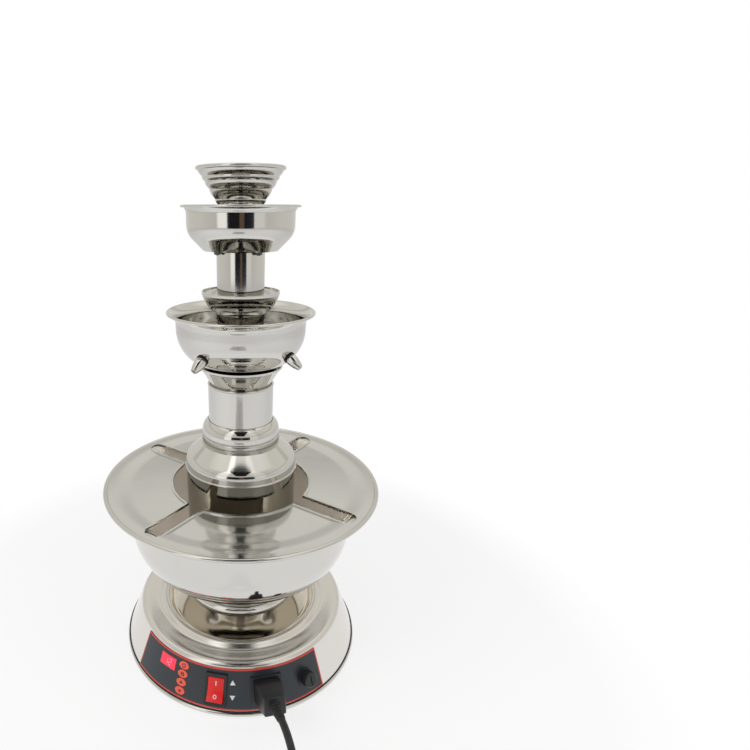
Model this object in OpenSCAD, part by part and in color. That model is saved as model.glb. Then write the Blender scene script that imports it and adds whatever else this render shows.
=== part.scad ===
// Beverage fountain: a switched base, a basin with a drip tray and a pumped tower of bowls

/* [Sheet and fits] */
// Thickness of the pressed steel sheet
sheet = 1.2; // [0.8:0.1:1.5]
// Clearance between pieces that lift or turn apart
fit = 0.3; // [0.2:0.05:0.5]
// Clearance of pieces that stay put in a seat
snug = 0.1; // [0.05:0.05:0.2]
// Running clearance of the pump shaft in its bushes
running = 0.05; // [0.02:0.01:0.1]

/* [Base] */
// Outer radius of the bottom flange
base_r = 129.5; // [124:0.5:141]
// Height of the rubber feet
feet_h = 1.6; // [1:0.1:5]
// Radius of a rubber foot
foot_pad_r = 9; // [6:0.5:11]
// Thickness of the bottom plate
plate_t = 1.2; // [0.8:0.1:2]
// Height of the bottom flange
flange_h = 4.9; // [3:0.1:8]
// Radial width of the bottom flange
flange_w = 12; // [8:0.5:14]
// Height of the black seal under the skirt
seal_h = 1.4; // [0.5:0.1:2]
// How far the seal stands proud of the skirt
seal_lip = 1.2; // [0.3:0.1:1.6]
// Step from the edge of the flange to the foot of the skirt
skirt_inset = 2.3; // [1:0.1:4]
// Lean of the skirt from the vertical, in degrees
skirt_tilt = 22; // [18:0.5:24]
// Least height of the straight part of the skirt: a longer row of keys makes it higher
skirt_rise = 37.8; // [37:0.2:44]
// Rounding at the top of the skirt
shoulder_r = 6; // [4:0.5:8]
// Width of the hollow inside the shoulder
groove_w = 15; // [10:0.5:18]
// Depth of the hollow inside the shoulder
groove_d = 3; // [1:0.2:4]
// Width of the rise from the hollow to the bead
bead_w = 6; // [4:0.5:8]
// Height of the bead over the shoulder
bead_h = 2.4; // [1:0.2:4]
// Rounding of the bead
bead_roll = 3; // [2:0.2:4]
// Depth of the dished saucer
saucer_d = 22; // [18:0.5:23]

/* [Panel] */
// Angle that the panel covers, in degrees
panel_span = 96; // [90:1:120]
// Thickness of the panel overlay
panel_t = 0.8; // [0.5:0.1:1.2]
// Width of the red border
border_w = 1.3; // [0.8:0.1:2]
// Bare strip of skirt under and over the panel
panel_margin = 0.7; // [0.5:0.1:2]
// Place of the display across the panel, from -1 to 1
display_at = -0.625; // [-0.7:0.005:-0.615]
// Height of the display over the middle of the panel
display_up = 7.9; // [0:0.1:9]
// Width of the display window
display_w = 19; // [12:0.5:19]
// Height of the display window
display_h = 11.6; // [8:0.2:12]
// Place of the row of keys across the panel, from -1 to 1
key_at = -0.427; // [-0.44:0.001:-0.36]
// Height of the middle of the row of keys over the middle of the panel
key_up = 0; // [-1:0.1:1]
// Width of an oval key
key_w = 11; // [9:0.2:12]
// Height of an oval key
key_h = 7.4; // [5:0.2:7.6]
// Spacing of the keys up the panel
key_pitch = 8.4; // [8:0.1:10]
// How far a key stands proud of the panel
key_proud = 0.6; // [0.4:0.1:1.2]
// Travel of a key
key_travel = 0.5; // [0.3:0.1:0.6]
// Place of the rocker switch across the panel, from -1 to 1
rocker_at = -0.073; // [-0.1:0.001:-0.04]
// Height of the rocker switch over the middle of the panel
rocker_up = -0.7; // [-1.5:0.1:1.5]
// Width of the rocker's bezel
bezel_w = 21; // [20:0.5:23]
// Height of the rocker's bezel
bezel_h = 31; // [29:0.5:32]
// Thickness of the rocker's bezel
bezel_t = 2.2; // [1.5:0.1:3]
// Width of the rocker
rocker_w = 15.6; // [14:0.2:16]
// Length of the rocker
rocker_l = 24; // [22:0.5:24.5]
// Turn of the rocker from on to off, in degrees
rocker_throw = 20; // [12:1:22]
// Place of the power inlet across the panel, from -1 to 1
inlet_at = 0.4083; // [0.38:0.0001:0.44]
// Height of the power inlet over the middle of the panel
inlet_up = -0.4; // [-1.5:0.1:2]
// Width of the inlet's body
inlet_w = 27; // [26:0.5:28]
// Height of the inlet's body
inlet_h = 23; // [20:0.5:24]
// Depth of the inlet's body behind the skirt
inlet_d = 18; // [16:0.5:20]
// Place of the fuse across the panel, from -1 to 1
fuse_at = 0.819; // [0.77:0.001:0.85]
// Height of the fuse over the middle of the panel
fuse_up = -1.5; // [-4:0.1:4]
// Diameter of the fuse cap
fuse_d = 14.5; // [12:0.5:16]
// Height of the fuse cap over its flange
fuse_cap_h = 8.5; // [6:0.5:12]

/* [Basin] */
// Radius of the foot where it stands on the saucer
foot_r = 18.5; // [16:0.5:24]
// Radius of the foot where it carries the bowl
foot_top_r = 62; // [50:0.5:64]
// Height of the foot
foot_h = 70.8; // [60:0.2:90]
// Outer radius of the lower bowl at its lip
bowl_r = 139.8; // [134:0.2:160]
// Radius of the lower bowl's wall
bowl_wall_r = 114; // [112:0.5:118]
// Rounding between the lower bowl's floor and wall
bowl_corner_r = 47.6; // [40:0.2:49]
// Height from the lower bowl's floor to the tray's ledge
bowl_h = 91; // [85:0.5:105]
// Thickness of the rolled lip
lip_d = 4; // [3:0.2:5]
// Width of the flat ledge under the tray
ledge_w = 5; // [4:0.2:6]
// Thickness of the drip tray
tray_t = 1.4; // [1:0.1:2]
// Room between the tray's middle hole and the widest tier that passes through it
tray_gap = 1.9; // [1.2:0.1:3]
// Clear width of the tray's slots
slot_w = 18; // [14:0.5:22]
// Metal between the end of a slot and the tray's edge
slot_margin = 4.5; // [4:0.1:12]
// Width of the raised hem around the openings
hem_w = 2; // [1.5:0.1:3]
// Height of the raised hem over the tray
hem_h = 2.2; // [1:0.1:3]
// Bearing of the first slot and nozzle, in degrees
slot_az = -30; // [-45:1:45]

/* [Tower] */
// Radius of the drum round the pump
drum_r = 55.7; // [50:0.1:58]
// Height of the drum
drum_h = 109.8; // [105:0.2:130]
// Height of the upright edge of the drum's lid
lid_edge_h = 6; // [5:0.2:9]
// Rounding of the lid's shoulder
lid_round = 12; // [9:0.5:14]
// Slope of the lid where its shoulder ends, in degrees of turn
lid_turn = 50; // [45:1:56]
// Outer radius of the lid's neck ring
neck_r = 39.2; // [37:0.1:42]
// Height of the lid's neck ring
neck_h = 3.7; // [3:0.1:5]
// Radius of the column
column_r = 31.5; // [28:0.1:33]
// Height of the column
column_h = 60.9; // [50:0.1:80]
// Widest radius of the column's collar
collar_r = 38.2; // [36.5:0.1:39]
// Height of the collar's plain foot
collar_foot_h = 6.5; // [5:0.1:9]
// Rounding of the collar's shoulder
collar_round = 14; // [12:0.5:16]
// Radius of the cup under the middle bowl
cup_r = 40; // [37:0.1:42]
// Height from the column's rim to the middle bowl
cup_h = 17; // [12:0.1:26]
// Outer radius of the middle bowl at its lip
mid_r = 68.4; // [64:0.1:69]
// Radius of the middle bowl's wall
mid_wall_r = 60.1; // [58:0.1:61]
// Rounding of the middle bowl's bottom
mid_corner_r = 35.8; // [30:0.1:37]
// Height of the middle bowl
mid_h = 50.7; // [47:0.1:60]
// Flare radius of the middle bowl's lip
mid_flare_r = 10; // [8.5:0.5:11]
// Length of a nozzle outside the bowl
nozzle_l = 14; // [10:0.5:15]
// Diameter of a nozzle at its wide end
nozzle_d = 10.5; // [8.5:0.1:11]
// Diameter of a nozzle at its tip
nozzle_tip_d = 5.4; // [4:0.1:7]
// Slope of the nozzles under the level, in degrees
nozzle_drop = 33; // [25:1:45]
// Radius of the tower's tubes
tube_r = 21.5; // [19:0.1:23]
// Height of the lower tube
tube_low_h = 48; // [42:0.1:60]
// Height of the upper tube
tube_up_h = 54; // [45:0.1:70]
// Rim radius of the small dish
dish_r = 35.5; // [32:0.1:40]
// Height of the small dish
dish_h = 20.4; // [16:0.1:24]
// Rounding of the small dish
dish_round = 31.7; // [26:0.1:40]
// Outer radius of the top bowl at its lip
top_r = 51.9; // [50.5:0.1:54]
// Radius of the top bowl's wall
top_wall_r = 47.1; // [46:0.1:48.5]
// Radius of the top bowl's flat floor
top_flat_r = 33; // [31.5:0.1:34]
// Rounding between the top bowl's slope and wall
top_corner_r = 16; // [12:0.5:18]
// Height of the top bowl
top_h = 35.8; // [33:0.1:42]
// Flare radius of the top bowl's lip
top_flare_r = 5.5; // [5:0.1:7]
// Radius of the pedestal under the cone
pedestal_r = 15; // [13:0.1:17]
// Height of the pedestal
pedestal_h = 35.6; // [30:0.1:42]
// Rim radius of the cone
cone_r = 38.5; // [34:0.1:44]
// Radius of the cone's floor
cone_base_r = 19; // [18:0.1:22]
// Height of the cone
cone_h = 29.9; // [25:0.1:36]
// Where the cone's bands end, as shares of its height
cone_bands = [0.16, 0.44, 0.65, 0.78, 1];
// Swell of a band
band_d = 0.8; // [0.4:0.1:1.2]

/* [Pump] */
// Radius of the pump
pump_r = 34; // [30:0.5:44]
// Height of the pump's motor
pump_h = 46; // [40:0.5:56]
// Height of the pump's cover
pump_cover_h = 20; // [18:0.5:26]
// Height of the pump's legs
pump_leg_h = 9.5; // [8.5:0.1:14]
// Radius of the pump shaft
shaft_r = 2.5; // [2:0.1:4]
// Radius of the magnet rotor
magnet_r = 12; // [9:0.5:14]
// Radius of the impeller
impeller_r = 23; // [18:0.5:24]
// Number of impeller blades
blades = 6; // [4:1:8]
// Outer radius of the riser tube
riser_r = 6; // [5:0.1:7]
// Outer radius of the threaded stem
stem_r = 8; // [7:0.1:9]

/* [Cord] */
// Diameter of the cord
cord_d = 6.5; // [6:0.1:6.5]
// Reach of the connector in front of the skirt
connector_l = 33; // [30:0.5:36]
// Length of the connector's strain relief
relief_l = 20; // [20:0.5:24]
// Length of the wall plug's body
plug_l = 34; // [28:0.5:40]

/* [Hidden] */
$fn = 72;
steel = [0.78, 0.77, 0.74];
satin = [0.72, 0.70, 0.66];
black = [0.08, 0.08, 0.09];
rubber = [0.05, 0.05, 0.05];
brass = [0.75, 0.62, 0.32];
green = [0.10, 0.35, 0.20];
white = [0.85, 0.85, 0.82];
eps = 0.01;
seat = 0.02;

// Heights of the base, from the table up
plate_z = feet_h;
flange_z = plate_z + plate_t;
seal_z = flange_z + flange_h;
skirt_z = seal_z + seal_h;
skirt_r0 = base_r - skirt_inset;
key_row = 3 * key_pitch + key_h + 2 * fit;
key_room = border_w + panel_margin + 0.5;
shoulder_z = skirt_z + max(skirt_rise, key_row * cos(skirt_tilt) + 2 * (key_room + abs(key_up)));
shoulder_c = [skirt_r(shoulder_z) - shoulder_r * cos(skirt_tilt), shoulder_z - shoulder_r * sin(skirt_tilt)];
base_top_z = shoulder_c.y + shoulder_r;
bead_r = shoulder_c.x - groove_w - bead_w;
bead_z = base_top_z + bead_h;
saucer_r = bead_r - bead_roll - snug;
saucer_rim_w = 4;
saucer_seat_z = bead_z - bead_roll - 1.6;
saucer_z = saucer_seat_z - saucer_d;
foot_z = saucer_z + sheet;

// Heights of the basin and the tower
bowl_z = foot_z + foot_h;
bowl_in_z = bowl_z + sheet;
tray_z = bowl_z + bowl_h;
tray_r = bowl_r - lip_d - fit;
hole_r = mid_r + tray_gap;
slot_end_r = tray_r - slot_margin;
lid_z = bowl_in_z + drum_h + seat;
lid_r = drum_r + 0.2;
lid_bend = [lid_r - lid_round + lid_round * cos(lid_turn), lid_z + lid_edge_h + lid_round * sin(lid_turn)];
neck_z = lid_bend.y + (lid_bend.x - neck_r) / tan(lid_turn);
column_z = neck_z;
column_top = column_z + column_h;
cup_seat_h = 8;
mid_z = column_top + cup_h;
tube_z = mid_z + sheet;
dish_z = tube_z + tube_low_h;
upper_z = dish_z + sheet;
top_z = upper_z + tube_up_h;
pedestal_z = top_z + sheet;
cone_z = pedestal_z + pedestal_h;
bore_r = riser_r + 3;

// Pump heights
pump_z = bowl_in_z + pump_leg_h;
cover_z = pump_z + pump_h;
cover_top = cover_z + pump_cover_h;
riser_z = cover_top - 4;
riser_top = cone_z - 3;
bush_r = shaft_r + 3.5;
bush_h = 5;
bush_low_z = pump_z + 3;
bush_top_z = cover_z - bush_h;

// Panel faces, measured outwards from the skirt
face = snug + panel_t;
panel_low = skirt_z + panel_margin;
panel_high = shoulder_z - panel_margin;
panel_mid = (panel_low + panel_high) / 2;
display_az = display_at * panel_span / 2;
display_z = panel_mid + display_up;
key_az = key_at * panel_span / 2;
key_z = panel_mid + key_up;
rocker_az = rocker_at * panel_span / 2;
rocker_z = panel_mid + rocker_up;
inlet_az = inlet_at * panel_span / 2;
inlet_z = panel_mid + inlet_up;
fuse_az = fuse_at * panel_span / 2;
fuse_z = panel_mid + fuse_up;
socket_w = inlet_w - 3;
socket_h = inlet_h - 3.6;
pin_rows = [[-7, 1.5], [7, 1.5], [0, -2.5]];
inlet_pin = [2, 4];
inlet_floor = 2.5;
inlet_rim = 1.5;
cap_flange_t = 1.6;
switch_w = bezel_w - 2;
switch_h = bezel_h - 3;
switch_d = 12;
fuse_body_d = fuse_d - 2;
fuse_bore_d = fuse_d - 6;
fuse_depth = 26;
display_rim = 2;
cut_in = 8;
cut_out = 4;
film_cut = 3;
rocker_r = rocker_l / 2;
rocker_pin_r = 1.5;
rocker_apex = 3;

// Cord coil, as seen along the connector: sideways, towards the front, up
function axis_at(s) = [0, -skirt_r(inlet_z) - s * cos(skirt_tilt), inlet_z + s * sin(skirt_tilt)];
relief_end = connector_l + relief_l;
coil_away = 80;
coil_c = [-57, axis_at(relief_end).y - coil_away];
coil_r = 49;
coil_step = 7;
coil_nip = 1.5;
coil_in = 3;
coil_turns = 6 + 160 / 360;
coil_start = -20;
coil_rings = 24;
tie_t = 0.8;
tie_az = 100;
coil_low = tie_t + 0.2 + cord_d / 2;
coil_climb = cord_d + 0.5;
coil_high = coil_low + coil_climb;
coil_end_r = coil_r - coil_step * (2 * coil_in + 0.5 - coil_turns);

// Profile helpers
function unit(v) = v / norm(v);
function left(d) = [-d.y, d.x];
function edge_normal(p, i) = left(unit(p[i + 1] - p[i]));
function mitre(a, b) = (a + b) / (1 + a * b);
function vertex_normal(p, i) =
    i == 0 ? edge_normal(p, 0)
    : i == len(p) - 1 ? edge_normal(p, i - 1)
    : mitre(edge_normal(p, i - 1), edge_normal(p, i));
function beside(p, d) = [for (i = [0:len(p) - 1]) p[i] + d * vertex_normal(p, i)];
function reversed(p) = [for (i = [len(p) - 1:-1:0]) p[i]];
function tidy(p) = [for (i = [0:len(p) - 1]) if (i == 0 || norm(p[i] - p[i - 1]) > 0.02) p[i]];
function arc(c, r, from, to, n = 10) =
    [for (i = [0:n]) let (a = from + (to - from) * i / n) c + r * [cos(a), sin(a)]];
function dish_arc(from, to, n = 14) =
    let (w = to.x - from.x, h = to.y - from.y, r = (w * w + h * h) / (2 * h), turn = 2 * atan(h / w))
    arc([from.x, from.y + r], r, -90, -90 + turn, n);
function bulge(p, q, r, n = 12) =
    let (half = norm(q - p) / 2, c = (p + q) / 2 + sqrt(r * r - half * half) * left(unit(q - p)))
    let (from = atan2(p.y - c.y, p.x - c.x), to = atan2(q.y - c.y, q.x - c.x))
    arc(c, r, from, to, n);
function flare(wall_r, lip_r, r, lip_z, n = 8) =
    let (turn = acos((wall_r + r - lip_r) / r))
    arc([wall_r + r, lip_z - r * sin(turn)], r, 180, 180 - turn, n);
function skirt_r(z) = skirt_r0 - (z - skirt_z) * tan(skirt_tilt);
function mix(a, b, u) = a + (b - a) * u;
function bezier(p, u) = pow(1 - u, 3) * p[0] + 3 * u * pow(1 - u, 2) * p[1] + 3 * u * u * (1 - u) * p[2]
    + pow(u, 3) * p[3];

// A sheet of even thickness turned about the axis: the path is its outer face
module turned(path, wall = sheet) {
    outer = tidy(path);
    rotate_extrude() polygon(concat(outer, reversed(beside(outer, wall))));
}
module ring(r_in, r_out, z, h) {
    rotate_extrude() translate([r_in, z]) square([r_out - r_in, h]);
}
module rolled(r, z, d) {
    rotate_extrude() translate([r, z]) circle(d = d, $fn = 32);
}
module tube(r, wall, z, h) {
    ring(r - wall, r, z, h);
}
module around(count, first = 0) {
    for (i = [0:count - 1]) rotate([0, 0, first + i * 360 / count]) children();
}
// Places a piece on the skirt: its Z points straight out and its Y up the slope
module on_skirt(az, z) {
    rotate([0, 0, az]) translate([0, -skirt_r(z), z]) rotate([90 - skirt_tilt, 0, 0]) children();
}
module block(w, h, from, to) {
    translate([-w / 2, -h / 2, from]) cube([w, h, to - from]);
}
module oval(w, h, from, to) {
    translate([0, 0, from]) scale([w / h, 1, 1]) cylinder(d = h, h = to - from);
}
// A patch of the skirt's cone, from one bearing and height to another
module patch(az, half, low, high, from, to) {
    out = [cos(skirt_tilt), sin(skirt_tilt)];
    a = [skirt_r(low), low];
    b = [skirt_r(high), high];
    rotate([0, 0, az - 90 - half]) rotate_extrude(angle = 2 * half)
        polygon([a + from * out, a + to * out, b + to * out, b + from * out]);
}
module hexagon(r, z, h) {
    translate([0, 0, z]) cylinder(r = r, h = h, $fn = 6);
}

// Feet and bottom
foot_pads = 4;
pad_ring_r = base_r - flange_w - foot_pad_r - 2;
screw_r = 1.6;
screws = 6;
screw_ring_r = base_r - flange_w / 2 - 1;
module rubber_feet() {
    color(rubber) around(foot_pads, 45) translate([pad_ring_r, 0, 0])
        cylinder(r1 = foot_pad_r - 0.6, r2 = foot_pad_r, h = feet_h);
}
module bottom_plate() {
    color(satin) difference() {
        translate([0, 0, plate_z]) cylinder(r = base_r - 3, h = plate_t);
        around(screws) translate([screw_ring_r, 0, plate_z - 1])
            cylinder(r = screw_r + snug, h = plate_t + 2);
        around(18, 10) translate([saucer_r * 0.5, 0, plate_z - 1]) cylinder(d = 5, h = plate_t + 2);
    }
}
module base_screws() {
    color(steel) around(screws) translate([screw_ring_r, 0, 0]) {
        translate([0, 0, plate_z - 1.3]) cylinder(r1 = screw_r + 0.8, r2 = screw_r + 1.4, h = 1.3);
        translate([0, 0, plate_z - eps]) cylinder(r = screw_r, h = plate_t + flange_h - 0.4);
    }
}
module base_flange() {
    edge = flange_h / 2;
    color(steel) difference() {
        rotate_extrude() polygon(concat(
            [[base_r - flange_w, flange_z]],
            arc([base_r - edge, flange_z + edge], edge, -90, 90),
            [[base_r - flange_w, flange_z + flange_h]]));
        around(screws) translate([screw_ring_r, 0, flange_z - 1])
            cylinder(r = screw_r + snug, h = flange_h + 0.7);
    }
}
module base_seal() {
    color(rubber) ring(skirt_r0 - sheet - 2, skirt_r0 + seal_lip, seal_z, seal_h);
}

// Skirt, shoulder, hollow and bead of the base, pressed from one sheet
module skirt_shell() {
    path = concat(
        [[skirt_r0, skirt_z]],
        arc(shoulder_c, shoulder_r, skirt_tilt, 90),
        [for (i = [1:14]) let (u = i / 14)
            [shoulder_c.x - groove_w * u, base_top_z - groove_d * pow(sin(180 * u), 2)]],
        [for (i = [1:8]) let (u = i / 8)
            [shoulder_c.x - groove_w - bead_w * u, base_top_z + bead_h * pow(sin(90 * u), 2)]],
        arc([bead_r, bead_z - bead_roll], bead_roll, 90, 180, 8),
        [[bead_r - bead_roll, saucer_seat_z], [bead_r - bead_roll - saucer_rim_w, saucer_seat_z]]);
    rotate_extrude() intersection() {
        polygon(concat(tidy(path), reversed(beside(tidy(path), sheet))));
        translate([0, skirt_z]) square([base_r, bead_z]);
    }
}
module base_skirt() {
    color(steel) difference() {
        skirt_shell();
        fitting_cuts(cut_in);
        on_skirt(display_az, display_z)
            block(display_w - display_rim, display_h - display_rim, -cut_in, cut_out);
    }
}
module base_saucer() {
    color(steel) turned(concat(
        [[stem_r + snug, saucer_z], [foot_r + 1.5, saucer_z]],
        dish_arc([foot_r + 1.5, saucer_z], [saucer_r - saucer_rim_w, saucer_seat_z]),
        [[saucer_r, saucer_seat_z]]));
}

// Panel, display and keys
module key_place(i) {
    on_skirt(key_az, key_z) translate([0, (1.5 - i) * key_pitch, 0]) children();
}
// What passes through the skirt and the overlay alike, cut to a depth behind the skirt's face
module fitting_cuts(depth) {
    on_skirt(rocker_az, rocker_z) block(switch_w + snug, switch_h + snug, -depth, cut_out);
    on_skirt(inlet_az, inlet_z) block(inlet_w + fit, inlet_h + fit, -depth, cut_out);
    on_skirt(fuse_az, fuse_z) translate([0, 0, -depth]) cylinder(d = fuse_body_d + fit, h = depth + cut_out);
    for (i = [0:3]) key_place(i) oval(key_w + 2 * fit, key_h + 2 * fit, -depth, cut_out);
}
module panel_cuts() {
    fitting_cuts(film_cut);
    window_patch(snug, -film_cut, cut_out);
}
module window_patch(grow, from, to) {
    r = skirt_r(display_z);
    rise = display_h * cos(skirt_tilt) / 2 + grow;
    patch(display_az, (display_w / 2 + grow) / r * 180 / PI, display_z - rise, display_z + rise, from, to);
}
border_a = border_w / skirt_r0 * 180 / PI;
module panel_field(from, to) {
    patch(0, panel_span / 2 - border_a, panel_low + border_w, panel_high - border_w, from, to);
}
module control_panel() {
    color([0.13, 0.16, 0.18]) difference() {
        panel_field(snug, face);
        panel_cuts();
    }
}
module panel_border() {
    color([0.78, 0.22, 0.18]) difference() {
        patch(0, panel_span / 2, panel_low, panel_high, snug, face);
        panel_field(-1, face + 1);
    }
}
module display_window() {
    color([0.9, 0.1, 0.15]) window_patch(0, snug, face);
}
module display_module() {
    back = sheet + display_w * display_w / 8 / skirt_r(display_z) + snug;
    color(black) on_skirt(display_az, display_z) {
        block(display_w - display_rim - fit, display_h - display_rim - fit, -cut_in, -sheet / 2);
        block(display_w + 1, display_h + 1.4, -back - 2, -back);
    }
}
key_floor = -3.2;
board_t = 1.6;
module key_cap(i) {
    edge = 0.3;
    color([0.92, 0.36, 0.28]) key_place(i) {
        oval(key_w, key_h, key_floor, face + key_proud - edge);
        oval(key_w - 2 * edge, key_h - 2 * edge, face + key_proud - edge - eps, face + key_proud);
    }
}
module key_1() { key_cap(0); }
module key_2() { key_cap(1); }
module key_3() { key_cap(2); }
module key_4() { key_cap(3); }
module key_board() {
    button = [5, 4.6];
    board_top = key_floor - 4;
    low = -1.5 * key_pitch - 2.5;
    post_r = 0.9;
    post = key_w / 2 + fit + post_r + 0.3;
    color(green) on_skirt(key_az, key_z) {
        translate([-post - 1.4, low, board_top - board_t])
            cube([2 * post + 2.8, 3 * key_pitch + 6, board_t]);
        for (i = [0:3]) translate([0, (1.5 - i) * key_pitch, 0])
            block(button.x, button.y, board_top - eps, key_floor - key_travel - snug);
        for (s = [-1, 1]) translate([s * post, 0, board_top - eps])
            cylinder(r = post_r, h = -board_top - sheet - post * post / 2 / skirt_r(key_z) - snug);
    }
}

// Rocker switch: its rest is on, with the upper half pressed
module rocker_housing() {
    floor_t = 1.8;
    pocket_w = rocker_w + 2 * fit;
    pocket_l = 2 * (rocker_r + fit);
    color(black) on_skirt(rocker_az, rocker_z) difference() {
        union() {
            block(bezel_w, bezel_h, face, face + bezel_t);
            block(switch_w, switch_h, -switch_d, face + eps);
        }
        block(pocket_w, pocket_l, floor_t - switch_d, face + bezel_t + 1);
        rotate([0, 90, 0]) translate([0, 0, -bezel_w]) cylinder(r = rocker_pin_r + running, h = 2 * bezel_w);
    }
}
module rocker() {
    slope = rocker_throw / 2;
    belly = 6;
    rise = rocker_r * tan(slope);
    pin_l = rocker_w + 2 * fit + 1.4;
    color([0.88, 0.05, 0.05]) on_skirt(rocker_az, rocker_z) rotate([-slope, 0, 0]) {
        rotate([90, 0, 90]) translate([0, 0, -rocker_w / 2]) linear_extrude(rocker_w) intersection() {
            circle(r = rocker_r);
            polygon([[-rocker_r, -belly], [rocker_r, -belly], [rocker_r, rocker_apex + rise],
                [0, rocker_apex], [-rocker_r, rocker_apex + rise]]);
        }
        rotate([0, 90, 0]) translate([0, 0, -pin_l / 2]) cylinder(r = rocker_pin_r, h = pin_l);
    }
}

// Power inlet and fuse
module inlet_housing() {
    color(black) on_skirt(inlet_az, inlet_z) difference() {
        union() {
            block(inlet_w, inlet_h, -inlet_d, face + cap_flange_t / 4);
            block(inlet_w + 2 * inlet_rim, inlet_h + 2 * inlet_rim, face, face + cap_flange_t);
        }
        block(socket_w, socket_h, -inlet_d + inlet_floor, face + 2 * cap_flange_t);
    }
}
module inlet_pins() {
    color(brass) on_skirt(inlet_az, inlet_z) for (p = pin_rows) translate([p.x, p.y, 0])
        block(inlet_pin.x, inlet_pin.y, -inlet_d + inlet_floor, -inlet_pin.y);
}
module fuse_holder() {
    floor_t = 1.5;
    nut_h = 3;
    nut_z = sheet + fuse_d * fuse_d / 6 / skirt_r(fuse_z) + snug;
    color(black) on_skirt(fuse_az, fuse_z) difference() {
        union() {
            translate([0, 0, face]) cylinder(d = fuse_d + 2.5, h = cap_flange_t);
            translate([0, 0, -fuse_depth]) cylinder(d = fuse_body_d, h = fuse_depth + face + eps);
            difference() {
                hexagon(fuse_d / 2 + 1.5, -nut_z - nut_h, nut_h);
                translate([0, 0, -nut_z - nut_h - 1]) cylinder(d = fuse_body_d - eps, h = nut_h + 2);
            }
        }
        translate([0, 0, floor_t - fuse_depth]) cylinder(d = fuse_bore_d, h = 2 * fuse_depth);
    }
}
fuse_face = face + cap_flange_t;
fuse_spigot = 4;
module fuse_cap() {
    grips = 24;
    grip_r = 0.65;
    bevel = 1;
    slot = [1.4, 0.62 * fuse_d, 1.2];
    color(black) on_skirt(fuse_az, fuse_z) {
        difference() {
            union() {
                translate([0, 0, fuse_face + snug]) cylinder(d = fuse_d, h = fuse_cap_h - bevel);
                translate([0, 0, fuse_face + snug + fuse_cap_h - bevel - eps])
                    cylinder(d1 = fuse_d, d2 = fuse_d - 2 * bevel, h = bevel);
            }
            around(grips) translate([fuse_d / 2 + 0.4 * grip_r, 0, fuse_face + slot.z])
                cylinder(r = grip_r, h = fuse_cap_h);
            block(slot.x, slot.y, fuse_face + fuse_cap_h - slot.z, fuse_face + fuse_cap_h + 1);
        }
        translate([0, 0, -fuse_spigot])
            cylinder(d = fuse_bore_d - 2 * fit, h = fuse_spigot + fuse_face + snug + eps);
    }
}
module fuse_link() {
    link = [5.2, 20];
    color(white) on_skirt(fuse_az, fuse_z) translate([0, 0, -fuse_spigot - link.y])
        cylinder(d = link.x, h = link.y);
}

// Electronics on the bottom plate
board_w = 84;
board_d = 46;
board_c = [0, 56];
board_in = 4;
standoff_h = 5;
standoff_r = 3;
standoff_screw_r = 1.3;
chip = [18, 14, 8];
chip_at = [-26, -8];
relay = [22, 18, 11];
relay_at = [4, -10];
capacitors = 5;
capacitor_r = 2.6;
capacitor_h = 7;
capacitor_pitch = 8;
capacitor_at = [-28, 14];
plate_top = plate_z + plate_t;
module board_corners() {
    for (sx = [-1, 1], sy = [-1, 1])
        translate([board_c.x + sx * (board_w / 2 - board_in), board_c.y + sy * (board_d / 2 - board_in)])
            translate([0, 0, plate_top]) children();
}
module control_board() {
    deck = plate_top + standoff_h + board_t - eps;
    color(green) difference() {
        translate([board_c.x - board_w / 2, board_c.y - board_d / 2, plate_top + standoff_h])
            cube([board_w, board_d, board_t]);
        board_corners() cylinder(r = standoff_screw_r + snug, h = standoff_h + 2 * board_t);
    }
    translate([board_c.x, board_c.y, deck]) {
        color(black) translate(chip_at) cube(chip);
        color(white) translate(relay_at) cube(relay);
        color(brass) for (i = [0:capacitors - 1]) translate(capacitor_at + [capacitor_pitch * i, 0])
            cylinder(r = capacitor_r, h = capacitor_h);
    }
}
module board_standoffs() {
    color(brass) board_corners() {
        hexagon(standoff_r, 0, standoff_h);
        cylinder(r = standoff_screw_r, h = standoff_h + board_t + 1);
    }
}
supply = [38, 62, 14];
supply_at = [-84, -30];
fin = [2, 54, 3];
fin_pitch = 5.2;
module power_supply() {
    color([0.6, 0.6, 0.62]) translate([supply_at.x, supply_at.y, plate_top]) {
        cube(supply);
        for (i = [0:6]) translate([fin.x + fin_pitch * i, (supply.y - fin.y) / 2, supply.z - eps]) cube(fin);
    }
}

// Foot, stem and basin
module bowl_foot() {
    color(steel) turned(concat(
        [[stem_r + snug, foot_z], [foot_r - 2, foot_z]],
        arc([foot_r - 2, foot_z + 2], 2, -90, -20, 6),
        [[foot_top_r, bowl_z - 6], [foot_top_r, bowl_z]]));
}
stem_nut_h = 6;
module stem_tube() {
    color(brass) tube(stem_r, 2, saucer_z - stem_nut_h - 2, foot_h + 2 * sheet + 2 * stem_nut_h + 3);
}
module stem_nuts() {
    color(brass) for (z = [saucer_z - stem_nut_h, bowl_in_z]) difference() {
        hexagon(stem_r + 4.5, z, stem_nut_h);
        translate([0, 0, z - 1]) cylinder(r = stem_r + snug, h = stem_nut_h + 2);
    }
}
module lower_bowl() {
    ledge_r = bowl_r - lip_d - ledge_w + 0.7;
    color(steel) {
        turned(concat(
            [[stem_r + snug, bowl_z]],
            arc([bowl_wall_r - bowl_corner_r, bowl_z + bowl_corner_r], bowl_corner_r, -90, 0, 16),
            flare(bowl_wall_r, ledge_r, ledge_r - bowl_wall_r, tray_z - sheet, 12),
            [[bowl_r - lip_d / 2, tray_z - sheet]]));
        rolled(bowl_r - lip_d / 2, tray_z - sheet + lip_d / 2, lip_d);
    }
}
module tray_openings(grow = 0) {
    circle(r = hole_r + grow);
    around(4, slot_az - 90) {
        translate([0, -slot_w / 2 - grow]) square([slot_end_r - slot_w / 2, slot_w + 2 * grow]);
        translate([slot_end_r - slot_w / 2, 0]) circle(r = slot_w / 2 + grow);
    }
}
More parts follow.
